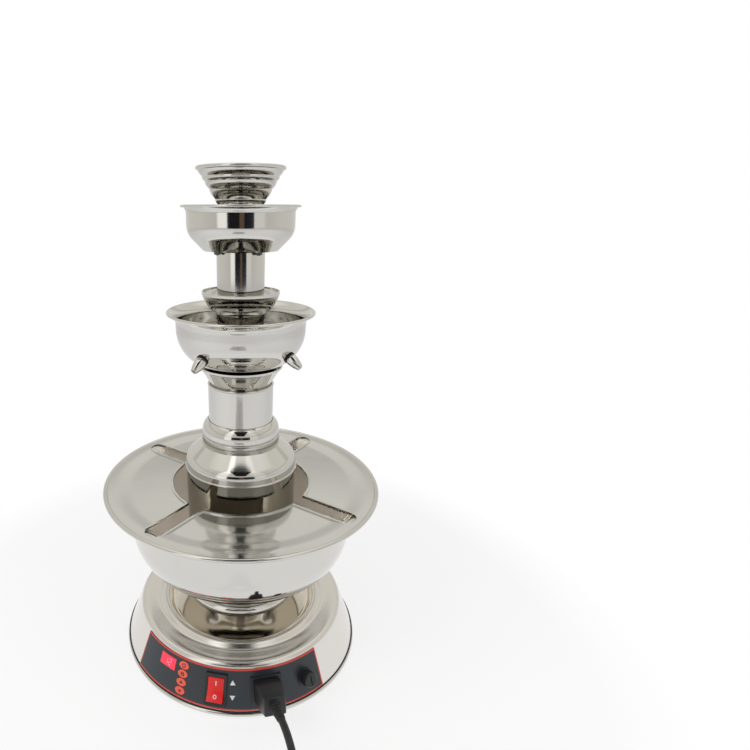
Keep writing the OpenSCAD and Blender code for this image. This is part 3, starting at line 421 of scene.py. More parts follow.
def pick(piece, mode, test):
    """Selects the vertices, edges or faces that pass the test, in edit mode."""
    bpy.ops.mesh.select_mode(type=mode)
    bpy.ops.mesh.select_all(action="DESELECT")
    mesh = bmesh.from_edit_mesh(piece.data)
    items = {"VERT": mesh.verts, "EDGE": mesh.edges, "FACE": mesh.faces}[mode]
    for item in items:
        if test(item):
            item.select_set(True)
    mesh.select_flush_mode()
    bmesh.update_edit_mesh(piece.data)


def outline(name, points):
    """A closed wire in the XZ plane, drawn by extruding one vertex from point to point."""
    clear()
    bpy.ops.mesh.primitive_plane_add(size=MM, location=(0, 0, 0))
    piece = bpy.context.object
    piece.name = name
    bpy.ops.object.mode_set(mode="EDIT")
    bpy.ops.mesh.select_mode(type="VERT")
    bpy.ops.mesh.select_all(action="SELECT")
    bpy.ops.mesh.merge(type="CENTER")
    bpy.ops.transform.translate(value=(points[0][0] * MM, 0, points[0][1] * MM))
    for a, b in zip(points, points[1:]):
        bpy.ops.mesh.extrude_region_move(
            TRANSFORM_OT_translate={"value": ((b[0] - a[0]) * MM, 0, (b[1] - a[1]) * MM)})
    mesh = bmesh.from_edit_mesh(piece.data)
    mesh.verts.ensure_lookup_table()
    mesh.verts[0].select_set(True)
    bmesh.update_edit_mesh(piece.data)
    bpy.ops.mesh.edge_face_add()
    return piece


def mended():
    """Merges doubles and turns the normals outwards, in edit mode, then leaves it."""
    bpy.ops.mesh.select_all(action="SELECT")
    bpy.ops.mesh.remove_doubles(threshold=TWIN)
    bpy.ops.mesh.normals_make_consistent(inside=False)
    leave()


def smooth(piece, angle=32):
    take(piece)
    bpy.ops.object.shade_smooth_by_angle(angle=radians(angle))


def spun(name, points, steps=None, turn=360.0, start=0.0):
    """A solid turned from a closed outline about Z, all round or through part of a turn."""
    piece = outline(name, points)
    bpy.ops.mesh.select_all(action="SELECT")
    bpy.ops.mesh.spin(
        steps=steps or sizes().turn_steps, angle=radians(turn), center=(0, 0, 0), axis=(0, 0, 1))
    bpy.ops.mesh.select_all(action="SELECT")
    bpy.ops.mesh.remove_doubles(threshold=TWIN)
    if turn < 360:
        bpy.ops.mesh.select_all(action="SELECT")
        bpy.ops.mesh.fill_holes(sides=0)
    mended()
    if start:
        piece.rotation_euler = (0, 0, radians(start))
        settle(piece)
    smooth(piece)
    return piece


def settle(piece, matrix=None):
    """Moves a piece by a matrix and applies its place, turn and scale to its mesh."""
    take(piece)
    if matrix is not None:
        piece.matrix_world = matrix @ piece.matrix_world
    bpy.ops.object.transform_apply(location=True, rotation=True, scale=True)


def modified(piece, kind, **settings):
    """Adds a modifier and applies it."""
    take(piece)
    bpy.ops.object.modifier_add(type=kind)
    modifier = piece.modifiers[-1]
    for key, value in settings.items():
        setattr(modifier, key, value)
    bpy.ops.object.modifier_apply(modifier=modifier.name)


def rounded(piece, width, segments=3, angle=30):
    """Rounds the edges sharper than an angle, by a width in millimetres."""
    modified(piece, "BEVEL", width=width * MM, segments=segments, limit_method="ANGLE",
             angle_limit=radians(angle))
    smooth(piece)


def joined(name, pieces):
    clear()
    for piece in pieces:
        piece.select_set(True)
    bpy.context.view_layer.objects.active = pieces[0]
    bpy.ops.object.join()
    pieces[0].name = name
    return pieces[0]


def copied(piece, matrix):
    """A copy with its own mesh, moved by a matrix."""
    take(piece)
    bpy.ops.object.duplicate(linked=False)
    twin = bpy.context.object
    settle(twin, matrix)
    return twin


def cut(piece, cutter):
    """Takes the cutter's volume out of a piece and deletes the cutter."""
    modified(piece, "BOOLEAN", operation="DIFFERENCE", solver="EXACT", object=cutter)
    bpy.data.objects.remove(cutter)


def block(name, w, h, low, high):
    """A block in a panel place's frame, centred on it, in millimetres."""
    clear()
    bpy.ops.mesh.primitive_cube_add(size=MM, location=(0, 0, (low + high) / 2 * MM))
    piece = bpy.context.object
    piece.name = name
    piece.scale = (w, h, high - low)
    settle(piece)
    return piece


def disc(name, r, low, high, vertices=64):
    clear()
    bpy.ops.mesh.primitive_cylinder_add(
        vertices=vertices, radius=r * MM, depth=(high - low) * MM, location=(0, 0, (low + high) / 2 * MM))
    piece = bpy.context.object
    piece.name = name
    settle(piece)
    return piece


def stadium(name, w, h, low, high):
    """A flat oval: a disc with its two halves drawn apart."""
    piece = disc(name, h / 2, low, high, vertices=46)
    edit(piece)
    for side in (-1, 1):
        pick(piece, "VERT", lambda v: v.co.x * side > 0)
        bpy.ops.transform.translate(value=(side * (w - h) / 2 * MM, 0, 0))
    leave()
    return piece


def oval(name, w, h, low, high):
    """A disc drawn out to an ellipse."""
    piece = disc(name, h / 2, low, high, vertices=48)
    edit(piece)
    bpy.ops.mesh.select_all(action="SELECT")
    bpy.ops.transform.resize(value=(w / h, 1, 1), center_override=(0, 0, 0))
    leave()
    return piece


def stepped(piece, margin, rise):
    """Raises or sinks the top of a piece inside a margin."""
    edit(piece)
    pick(piece, "FACE", lambda f: f.normal.z > 0.9)
    bpy.ops.mesh.inset(thickness=margin * MM)
    bpy.ops.transform.translate(value=(0, 0, rise * MM))
    leave()


def opened(piece, line, axis="z"):
    """Opens a piece from end to end along an axis, so that a frame of the line's width is left."""
    edit(piece)
    pick(piece, "FACE", lambda f: abs(getattr(f.normal, axis)) > 0.9)
    bpy.ops.mesh.inset(thickness=line * MM)
    bpy.ops.mesh.bridge_edge_loops()
    mended()


def dress(piece, finish_name, body, *nodes, slot=None):
    """Gives a piece its finish, its body and the nodes that it stands for."""
    piece.name = piece.name.replace(" ", "_")
    piece.data.materials.clear()
    piece.data.materials.append(finish_of(finish_name))
    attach(piece, body)
    if nodes:
        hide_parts(*nodes)
    return piece


def level(node):
    """Lowest and highest point of a node, in millimetres."""
    low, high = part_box(node)
    return low[2] / MM, high[2] / MM


def reach(node):
    """Outer radius of a turned node, in millimetres."""
    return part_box(node)[1][0] / MM


# Sizes that several pieces share, in millimetres and degrees
SHEET = 1.2
STEM_HOLE = 8.1
RISER_HOLE = 9.0
TILT = 22.0
FLANGE_R = reach("base_flange")
SKIRT_Z = level("base_skirt")[0]
SKIRT_R = reach("base_skirt")
SKIRT_RISE = 37.8
UNDER, FACE = 0.1, 0.9


def skirt_r(z):
    return SKIRT_R - (z - SKIRT_Z) * tan(radians(TILT))


def on_skirt(az, z, up=0.0, side=0.0):
    """The frame of a place on the panel: X to the right, Y up the slope, Z straight out."""
    return (turned(az)
            @ shifted(0, -skirt_r(z), z)
            @ turned(90 - TILT, "X")
            @ shifted(side, up))


def patch(name, az, half, low, high, inner, outer, steps=72):
    """A piece of film that follows the skirt's cone."""
    ca, sa = cos(radians(TILT)), sin(radians(TILT))
    points = [(skirt_r(z) + t * ca, z + t * sa)
              for z, t in ((low, inner), (low, outer), (high, outer), (high, inner))]
    return spun(name, points, steps=steps, turn=2 * half, start=az - 90 + half)


PANEL_MID = SKIRT_Z + SKIRT_RISE / 2
DISPLAY = (-30.0, PANEL_MID + 7.9)
DISPLAY_SIZE = (19.0, 11.6)
KEYS = (-20.5, PANEL_MID)
KEY_PITCH = 8.4
KEY_SIZE = (11.0, 7.4)
ROCKER = (-3.5, PANEL_MID - 0.7)
SWITCH_SIZE = (19.0, 28.0)
INLET = (19.6, PANEL_MID - 0.4)
INLET_SIZE = (27.0, 23.0)
FUSE = (39.3, PANEL_MID - 1.5)
FUSE_HOLE = 6.4
PANEL_HALF = 48.0
PANEL_LOW = SKIRT_Z + 0.7
PANEL_HIGH = SKIRT_Z + SKIRT_RISE - 0.7
BORDER = 1.3


def key_place(i):
    return on_skirt(*KEYS, up=(1.5 - i) * KEY_PITCH)


def panel_holes(low, high):
    """One cutter for everything that passes through the skirt and the panel."""
    cutters = []
    for place, size, room in ((ROCKER, SWITCH_SIZE, 0.2), (INLET, INLET_SIZE, 0.3)):
        piece = block("cutter", size[0] + room, size[1] + room, low, high)
        settle(piece, on_skirt(*place))
        cutters.append(piece)
    piece = disc("cutter", FUSE_HOLE, low, high)
    settle(piece, on_skirt(*FUSE))
    cutters.append(piece)
    key_room = 0.6
    for i in range(4):
        piece = oval("cutter", KEY_SIZE[0] + key_room, KEY_SIZE[1] + key_room, low, high)
        settle(piece, key_place(i))
        cutters.append(piece)
    return joined("panel cutter", cutters)


# Operators

class FountainOperator:
    """What the build steps share."""

    bl_options = {"REGISTER", "UNDO"}


class FOUNTAIN_OT_base(FountainOperator, bpy.types.Operator):
    """Turn the base: flange, seal, skirt with its bead, and dished saucer"""

    bl_idname = "fountain.base"
    bl_label = "Base"

    def execute(self, context):
        low, high = level("base_flange")
        edge = (high - low) / 2
        inner = FLANGE_R - 12
        rolled = arc((FLANGE_R - edge, low + edge), edge, -90, 90)
        flange = spun("bottom flange", [(inner, low), *rolled, (inner, high)])
        dress(flange, "polished steel", "base", "base_flange", slot="steel")
        low, high = level("base_seal")
        inner, edge = SKIRT_R - 4, (high - low) / 2
        bulging = arc((reach("base_seal") - edge, (low + high) / 2), edge, -90, 90, 8)
        seal = spun("seal line", [(inner, low), *bulging, (inner, high)])
        dress(seal, "rubber", "base", "base_seal", slot="rubber")
        skirt = spun("skirt", self.skirt())
        cut(skirt, panel_holes(-8, 4))
        smooth(skirt)
        dress(skirt, "soft steel", "base", "base_skirt", slot="steel")
        dress(spun("saucer", self.saucer()), "warm steel", "base", "base_saucer", slot="steel")
        return {"FINISHED"}

    def saucer(self):
        """A gently sloping floor round a well for the foot, with a steep wall that meets the bead."""
        low, high = level("base_saucer")
        rim = reach("base_saucer")
        seat = high - SHEET
        well_r, floor_r, floor_slope, wall_slope, bend = 20.0, 36.0, 10, 65, 10.0
        turn = arc((rim - 12.1, seat + 1.15), bend, floor_slope - 90, wall_slope - 90, 16)
        floor_z = turn[0][1] - (turn[0][0] - floor_r) * tan(radians(floor_slope))
        path = [(STEM_HOLE, low), (well_r, low), (floor_r, floor_z), *turn, (rim - 0.9, seat + 1.45)]
        return walled(path, SHEET)

    def skirt(self):
        """The skirt, its shoulder, the ring inside it and the bead round the saucer."""
        top = SKIRT_Z + SKIRT_RISE
        shoulder = 6.0
        c = (skirt_r(top) - shoulder * cos(radians(TILT)), top - shoulder * sin(radians(TILT)))
        crown = c[1] + shoulder
        ring_w, ring_fall, rise_w, bead_h, roll = 13.5, 1.6, 7.5, 2.4, 5.0
        path = [(SKIRT_R, SKIRT_Z)] + arc(c, shoulder, TILT, 90)
        steps = [(i / 20, sin(pi / 2 * i / 20) ** 2) for i in range(1, 21)]
        path += [(c[0] - ring_w * u, crown - ring_fall * ease) for u, ease in steps]
        path += [(c[0] - ring_w - rise_w * u, crown - ring_fall + (ring_fall + bead_h) * ease)
                 for u, ease in steps]
        bead = (c[0] - ring_w - rise_w, crown + bead_h - roll)
        path += arc(bead, roll, 90, 155, 12)
        points = walled(path, SHEET)
        points[-1] = (SKIRT_R - SHEET / cos(radians(TILT)), SKIRT_Z)
        return points


class FOUNTAIN_OT_panel(FountainOperator, bpy.types.Operator):
    """Lay the panel's overlay, its border, the lit display and the printed marks"""

    bl_idname = "fountain.panel"
    bl_label = "Panel"

    def execute(self, context):
        edge = degrees(BORDER / SKIRT_R)
        low, high = PANEL_LOW + BORDER, PANEL_HIGH - BORDER
        film = patch("panel overlay", 0, PANEL_HALF - edge, low, high, UNDER, FACE)
        cut(film, panel_holes(-1, 4))
        dress(film, "panel film", "base", "control_panel", slot="film")
        bars = [patch("border", 0, PANEL_HALF, a, b, UNDER, FACE)
                for a, b in ((PANEL_LOW, low), (high, PANEL_HIGH))]
        bars += [patch("border", side * (PANEL_HALF - edge / 2), edge / 2, low, high, UNDER, FACE, steps=2)
                 for side in (-1, 1)]
        dress(joined("panel border", bars), "border ink", "base", "panel_border", slot="border")
        self.display()
        self.marks()
        return {"FINISHED"}

    def display(self):
        """A lit window with the number 12 in straight bars."""
        az, z = DISPLAY
        rise = DISPLAY_SIZE[1] / 2 * cos(radians(TILT))
        half = degrees(DISPLAY_SIZE[0] / 2 / skirt_r(z))
        window = patch("display window", az, half, z - rise, z + rise, UNDER, FACE + 0.15, steps=12)
        dress(window, "display", "base", "display_window", slot="display")
        tall, wide = 3.0, 1.5
        places = {"top": (0, tall, 0), "middle": (0, 0, 0), "foot": (0, -tall, 0),
                  "upper right": (wide, wide, 90), "lower right": (wide, -wide, 90),
                  "lower left": (-wide, -wide, 90)}
        one = ("upper right", "lower right")
        two = ("top", "upper right", "middle", "lower left", "foot")
        bars = []
        for digit_x, lit_bars in ((-2.3, one), (2.6, two)):
            for key in lit_bars:
                x, y, turn = places[key]
                bar = stadium("bar", 2.6, 0.7, 0.95, 1.2)
                settle(bar, turned(turn))
                settle(bar, on_skirt(az, z, up=y, side=digit_x + x))
                bars.append(bar)
        dress(joined("display digits", bars), "digits", "base", slot="display")

    def marks(self):
        """White pointers beside the rocker."""
        az, r, low, high = 4.1, 3.1, 0.92, 1.06
        marks = []
        for z, turn in ((PANEL_MID + 5.8, 0), (PANEL_MID - 6.3, 180)):
            mark = disc("pointer", r, low, high, vertices=3)
            settle(mark, on_skirt(az, z) @ turned(turn))
            marks.append(mark)
        dress(joined("pointers", marks), "white ink", "base", slot="film")


class FOUNTAIN_OT_keys(FountainOperator, bpy.types.Operator):
    """Mould the four oval keys with their printed signs"""

    bl_idname = "fountain.keys"
    bl_label = "Keys"

    def execute(self, context):
        depth, proud, edge, crown = 3.2, 0.6, 0.9, 0.1
        for i in range(4):
            cap = oval(f"key {i + 1}", *KEY_SIZE, -depth, FACE + proud)
            stepped(cap, edge, crown)
            rounded(cap, 0.35, 3, 25)
            settle(cap, key_place(i))
            dress(cap, "key cap", f"key_{i + 1}", f"key_{i + 1}", slot="key")
            dress(self.sign(i), "dark ink", f"key_{i + 1}", slot="key")
        return {"FINISHED"}

    def sign(self, i):
        """A ring, a ring with a bar, and two pointers."""
        r, line, low, high = 2.1, 0.75, FACE + 0.62, FACE + 0.78
        if i >= 2:
            sign = disc("sign", r, low, high, vertices=3)
            settle(sign, turned(0 if i == 2 else 180))
        else:
            sign = disc("sign", r, low, high, vertices=40)
            opened(sign, line)
            if i == 1:
                bar = block("bar", 3.4, 0.8, low, high)
                sign = joined("sign", [sign, bar])
        sign.name = f"key {i + 1} sign"
        settle(sign, key_place(i))
        return sign


class FOUNTAIN_OT_switch(FountainOperator, bpy.types.Operator):
    """Mould the rocker switch and print its two marks"""

    bl_idname = "fountain.switch"
    bl_label = "Rocker switch"

    def execute(self, context):
        frame_w, frame_h, hollow_w, hollow_h, depth, floor = 21, 31, 16.2, 24.6, 12, 1.8
        bezel = block("switch housing", frame_w, frame_h, FACE, FACE + 2.2)
        stepped(bezel, 1.1, -0.4)
        rounded(bezel, 0.5)
        body = block("switch body", *SWITCH_SIZE, -depth, FACE + 0.3)
        housing = joined("switch housing", [bezel, body])
        cut(housing, block("cutter", hollow_w, hollow_h, floor - depth, 6))
        settle(housing, on_skirt(*ROCKER))
        dress(housing, "black plastic", "base", "rocker_housing", slot="black_plastic")
        self.rocker()
        return {"FINISHED"}

    def rocker(self):
        """A saddle-shaped rocker, at rest with its upper half pressed."""
        r, apex, slope, w, sunk, sag, fillet = 12.0, 3.0, 10.0, 15.6, 6, 0.315, 0.25
        climb = r * tan(radians(slope))
        rise = apex + climb
        side = sqrt(r * r - sunk * sunk)
        end = degrees(asin(sunk / r))
        top = degrees(asin(rise / r))
        edge_r = r * cos(radians(top))
        flank = arc((0, 0), r, -end, top, 10)
        profile = [(-side, -sunk), (side, -sunk), *flank[1:], (edge_r * 0.9, rise - fillet)]
        profile += [(edge_r * k, apex + abs(k) * climb * 0.93 - sag * sin(pi * abs(k)))
                    for k in (0.7, 0.45, 0.2, 0.06, -0.06, -0.2, -0.45, -0.7)]
        profile += [(-edge_r * 0.9, rise - fillet)] + [(-x, z) for x, z in flank[:0:-1]]
        rocker = outline("rocker", profile)
        bpy.ops.mesh.select_all(action="SELECT")
        bpy.ops.mesh.edge_face_add()
        bpy.ops.mesh.extrude_region_move(TRANSFORM_OT_translate={"value": (0, w * MM, 0)})
        mended()
        settle(rocker, turned(90) @ shifted(0, -w / 2))
        rounded(rocker, 0.45, 3, 35)
        place = on_skirt(*ROCKER) @ turned(-slope, "X")
        settle(rocker, place)
        dress(rocker, "red rocker", "rocker", "rocker", slot="rocker_red")
        mark_y, mark_z, ink = 6.2, 3.80, 0.12
        bar = stadium("on mark", 5.2, 0.9, 0, ink)
        settle(bar, turned(90))
        settle(bar, self.on_half(mark_y, mark_z, slope))
        ring = oval("off mark", 3.4, 3.8, 0, ink)
        opened(ring, 0.62)
        settle(ring, self.on_half(-mark_y, mark_z, -slope))
        marks = joined("rocker marks", [bar, ring])
        settle(marks, place)
        dress(marks, "white ink", "rocker", slot="rocker_red")

    def on_half(self, y, z, slope):
        """A place on one half of the rocker."""
        return shifted(0, y, z) @ turned(slope, "X")


class FOUNTAIN_OT_basin(FountainOperator, bpy.types.Operator):
    """Turn the foot and the lower bowl, and press the drip tray with its hemmed openings"""

    bl_idname = "fountain.basin"
    bl_label = "Basin"

    def execute(self, context):
        low, high = level("bowl_foot")
        top_r = reach("bowl_foot")
        stem_r, bend, edge = 18.5, 18.0, 7.0
        under = low + 31.8
        path = [(STEM_HOLE, low), *arc((stem_r - 2, low + 2), 2, -90, 0, 8)]
        path += arc((stem_r + bend, under - bend), bend, 180, 90, 12)
        path += arc((top_r - edge + 0.2, under + edge), edge, -90, 75, 24)
        path += [(top_r - edge + 1, high - 18), (top_r, high - 6), (top_r, high)]
        dress(spun("funnel foot", walled(path, SHEET)), "polished steel", "base", "bowl_foot", slot="steel")
        low = level("lower_bowl")[0]
        lip_r = reach("lower_bowl")
        tray_z = level("drip_tray")[0]
        wall_r, corner, lip = 114.0, 47.6, 4.0
        ledge_r = lip_r - lip - 4.3
        path = [(STEM_HOLE, low), *arc((wall_r - corner, low + corner), corner, -90, 0, 40),
                *flare(wall_r, ledge_r, ledge_r - wall_r, tray_z - SHEET, 28),
                (lip_r - lip / 2, tray_z - SHEET)]
        basin = spun("basin", walled(path, SHEET, lip, lip / 2))
        dress(basin, "polished steel", "base", "lower_bowl", slot="steel")
        self.line(basin, tray_z - 2)
        self.tray()
        return {"FINISHED"}

    def line(self, piece, below):
        """Gives the inside faces under a height a satin finish."""
        piece.data.materials.append(finish_of("satin inside"))
        edit(piece)
        pick(piece, "FACE", lambda f: f.calc_center_median().z < below * MM and (
            f.normal.xy.dot(f.calc_center_median().xy) < 0 or f.normal.z > 0.5))
        piece.active_material_index = 1
        bpy.ops.object.material_slot_assign()
        leave()

    def tray(self):
        """A shallow plate with a rising edge, cut open, with a hem laid round the openings."""
        edge_z, edge_r = level("drip_tray")[0], reach("drip_tray")
        flat_r, rise, thick, hem_w, hem_h = 110.0, 1.5, 1.4, 2.0, 1.3
        low = edge_z - rise
        path = [(40, low), (flat_r, low)]
        path += [(flat_r + (edge_r - 4 - flat_r) * u, low + rise * sin(pi / 2 * u) ** 2)
                 for u in (i / 16 for i in range(1, 17))]
        plate = spun("drip tray", walled(path + [(edge_r, edge_z)], thick))
        cut(plate, self.openings(low - 1, edge_z + thick + 1))
        hem = self.openings(low + thick - 0.3, low + thick + hem_h, hem_w)
        cut(hem, self.openings(low - 1, low + thick + hem_h + 1))
        rounded(hem, 0.5, 3, 50)
        smooth(plate)
        dress(joined("drip tray", [plate, hem]), "satin sheet", "tray", "drip_tray", slot="satin_steel")

    def openings(self, low, high, grow=0.0):
        """The middle hole and the four slots as one cutter."""
        hole_r, slot_l, slot_w, slot_mid, first = 70.3, 140, 18, 61, -120
        hole = disc("openings", hole_r + grow, low, high, vertices=160)
        for k in range(4):
            slot = stadium("slot", slot_l + grow, slot_w + 2 * grow, low, high)
            turn = turned(first + 90 * k)
            settle(slot, turn @ shifted(slot_mid + grow / 2, 0))
            modified(hole, "BOOLEAN", operation="UNION", solver="EXACT", object=slot)
            bpy.data.objects.remove(slot)
        return hole


class FOUNTAIN_OT_tower(FountainOperator, bpy.types.Operator):
    """Turn the drum, its lid, the column and the tiers above it"""

    bl_idname = "fountain.tower"
    bl_label = "Tower"

    def execute(self, context):
        self.drum()
        self.column()
        self.middle()
        self.top()
        return {"FINISHED"}

    def steel(self, name, points, body, node):
        return dress(spun(name, points), "polished steel", body, node, slot="steel")

    def drum(self):
        low, high = level("drum")
        r = reach("drum")
        drum = spun("drum wall", walled([(r, low), (r, high)], SHEET))
        through, port_w, port_h, count = 8, 10, 12, 8
        ports = []
        for k in range(count):
            port = block("port", through, port_w, low - 1, low + port_h)
            settle(port, turned(360 / count * k) @ shifted(r, 0))
            ports.append(port)
        cut(drum, joined("ports", ports))
        smooth(drum)
        # the drum wears the darkened steel: painted shade
        dress(drum, "shaded steel", "base", "drum", slot="steel")
        lid_z = high + 0.02
        lid_r = r + 0.2
        top = level("drum_lid")[1]
        neck_r, neck_h, round_r, turn = 39.2, 3.7, 12.0, 50
        c = (lid_r - round_r, lid_z + 6)
        neck_z = top - neck_h
        bead = [(lid_r, lid_z), *arc((lid_r, lid_z + 1.1), 1.0, -85, 85, 10)]
        path = bead + arc(c, round_r, 0, turn, 20) + [(neck_r, neck_z), (neck_r, top)]
        inner = beside(without_doubles([(lid_r, lid_z + 2.4)] + path[len(bead):]), SHEET)
        ledge = [(neck_r - SHEET, neck_z), (RISER_HOLE, neck_z), (RISER_HOLE, neck_z - SHEET),
                 (neck_r - 1, neck_z - SHEET)]
        points = path + [(neck_r - SHEET, top)] + ledge + inner[:-2][::-1] + [(lid_r - SHEET, lid_z)]
        self.steel("drum lid", without_doubles(points), "lid", "drum_lid")

    def column(self):
        low, high = level("column")
        r = 31.5
        bead = arc((r - 0.4, high - 1), 1.0, -60, 120, 14)
        points = [(r, low), *bead, (r - SHEET, high), (r - SHEET, low)]
        self.steel("column tube", points, "column", "column")
        base, wide, round_r, wall = 37.7, 38.2, 14.0, 0.84
        lip_z = low + 10.0
        c = (wide - round_r, lip_z + 2.5)
        end = degrees(acos((r + 0.1 - c[0]) / (round_r - wall)))
        path = [(base, low), (base, low + 6.5), *arc((base, low + 7.5), 1, -90, -180, 8),
                *arc((wide - 1.2, lip_z), 1.2, -60, 0, 8), *arc(c, round_r, 0, end, 24)]
        self.steel("collar", walled(path, wall), "column", "column_collar")
        seat, top = level("column_cup")
        spigot, rim = 30.0, reach("column_cup")
        mid_z = top - 1.4
        path = [(spigot, seat), (spigot, high + 1)]
        for u in (i / 20 for i in range(1, 21)):
            spread = 0.75 * u + 0.25 * u * u
            path.append((spigot + (rim - 0.8 - spigot) * spread, high + 1 + (mid_z - high - 2) * u))
        path += [(rim, mid_z - 0.4), (rim, top)]
        inner = beside(without_doubles(path), SHEET)
        ledge = [(rim - SHEET, mid_z), (RISER_HOLE, mid_z), (RISER_HOLE, mid_z - SHEET),
                 (rim - SHEET - 1.6, mid_z - SHEET)]
        self.steel("cup", path + [(rim - SHEET, top)] + ledge + inner[:-3][::-1], "column", "column_cup")

    def middle(self):
        low = level("middle_bowl")[0]
        lip_r = reach("middle_bowl")
        wall_r, corner, lip, height = 60.1, 35.8, 2.4, 50.7
        path = [(RISER_HOLE, low), *arc((wall_r - corner, low + corner), corner, -90, 0, 36),
                *flare(wall_r, lip_r - lip / 2, 10.0, low + height, 18)]
        self.steel("middle bowl", walled(path, SHEET, lip, 0.2), "middle", "middle_bowl")
        low, high = level("lower_tube")
        r = reach("lower_tube")
        self.steel("lower tube", walled([(r, low), (r, high)], SHEET), "middle", "lower_tube")
        low, high = level("small_dish")
        rim = reach("small_dish")
        path = [(RISER_HOLE, low), *bulge((r + 0.5, low), (rim, high - 2), 31.7, 24), (rim, high)]
        dish = spun("small dish", walled(path, SHEET))
        ring = spun("dish ring", walled([(r - 1.5, low + 0.6), (r - 1.5, low + 10.6)], SHEET))
        dress(joined("small dish", [dish, ring]), "polished steel", "middle", "small_dish", slot="steel")
        self.nozzles(wall_r, corner)

    def nozzles(self, wall_r, corner):
        """Four spouts on washers, each turned once and copied round the bowl."""
        drop, first = 33.0, -30
        low = level("middle_bowl")[0]
        anchor = (wall_r - corner + corner * cos(radians(drop)), low + corner - corner * sin(radians(drop)))
        wide, tip, foot, length = 10.5, 5.4, 2.0, 14.0
        profile = [(1.7, -5.5), (3.0, -5.5), (3.0, 1.2), (wide / 2 - 0.7, 1.2), (wide / 2 - 0.15, 1.5)]
        profile += [((wide + (tip - wide) * u * u) / 2, foot + (length - foot) * u)
                    for u in (i / 12 for i in range(13))]
        profile += [(tip / 2 - 0.4, length + 0.1), (1.9, length), (1.7, length - 0.6)]
        nozzle = spun("nozzle", profile, steps=48)
        bulging = [(3.1, 0), (5.4, 0), (5.65, 0.35), (5.65, 0.9), (5.4, 1.2), (3.1, 1.2)]
        washer = spun("washer", bulging, steps=48)
        for piece, name, finish_name, node, slot in (
                (nozzle, "spouts", "polished steel", "nozzles", "steel"),
                (washer, "spout washers", "rubber", "nozzle_washers", "rubber")):
            copies = []
            for k in range(4):
                place = (turned(first + 90 * k)
                         @ shifted(0, -anchor[0], anchor[1])
                         @ turned(90 + drop, "X"))
                copies.append(copied(piece, place))
            bpy.data.objects.remove(piece)
            dress(joined(name, copies), finish_name, "middle", node, slot=slot)

    def top(self):
        low, high = level("upper_tube")
        r = reach("upper_tube")
        self.steel("upper tube", walled([(r, low), (r, high)], SHEET), "upper", "upper_tube")
        low = level("top_bowl")[0]
        lip_r = reach("top_bowl")
        wall_r, corner, flat, lip, height = 47.1, 16.0, 33.0, 2.0, 35.8
        foot = wall_r - corner + corner * cos(radians(45))
        bend_z = low + foot - flat + corner * sin(radians(45))
        path = [(RISER_HOLE, low), (flat, low), *arc((wall_r - corner, bend_z), corner, -45, 0, 18),
                *flare(wall_r, lip_r - lip / 2, 5.5, low + height, 14)]
        self.steel("top bowl", walled(path, SHEET, lip, 0.2), "upper", "top_bowl")
        low, high = level("cone_pedestal")
        tube_r, flange_r = 15.0, reach("cone_pedestal")
        points = [(tube_r - SHEET, low), (flange_r - 0.4, low), (flange_r, low + 0.4), (flange_r, low + 0.9),
                  (flange_r - 0.3, low + SHEET), (tube_r, low + SHEET), (tube_r, high),
                  (tube_r - SHEET, high)]
        self.steel("pedestal", points, "upper", "cone_pedestal")
        low, high = level("top_cone")
        ring_r, ring_h = 13.5, 8
        low += ring_h
        rim, swell, floor_r, roll = reach("top_cone"), 0.8, 19.0, 3.0
        bands = (0.0, 0.16, 0.44, 0.65, 0.78, 1.0)
        end = (rim - roll / 2 - 0.4, high - roll / 2)
        path = [(RISER_HOLE, low)]
        for a, b in zip(bands, bands[1:]):
            path += [(floor_r + (end[0] - floor_r) * (a + (b - a) * v) + swell * sin(pi * v),
                      low + (end[1] - low) * (a + (b - a) * v)) for v in (i / 14 for i in range(15))]
        cone = spun("cone", walled(path, SHEET, roll, 0.0))
        ring = spun("cone ring", walled([(ring_r, low - ring_h), (ring_r, low + 0.6)], SHEET), steps=96)
        dress(joined("cone", [cone, ring]), "polished steel", "cone", "top_cone", slot="steel")


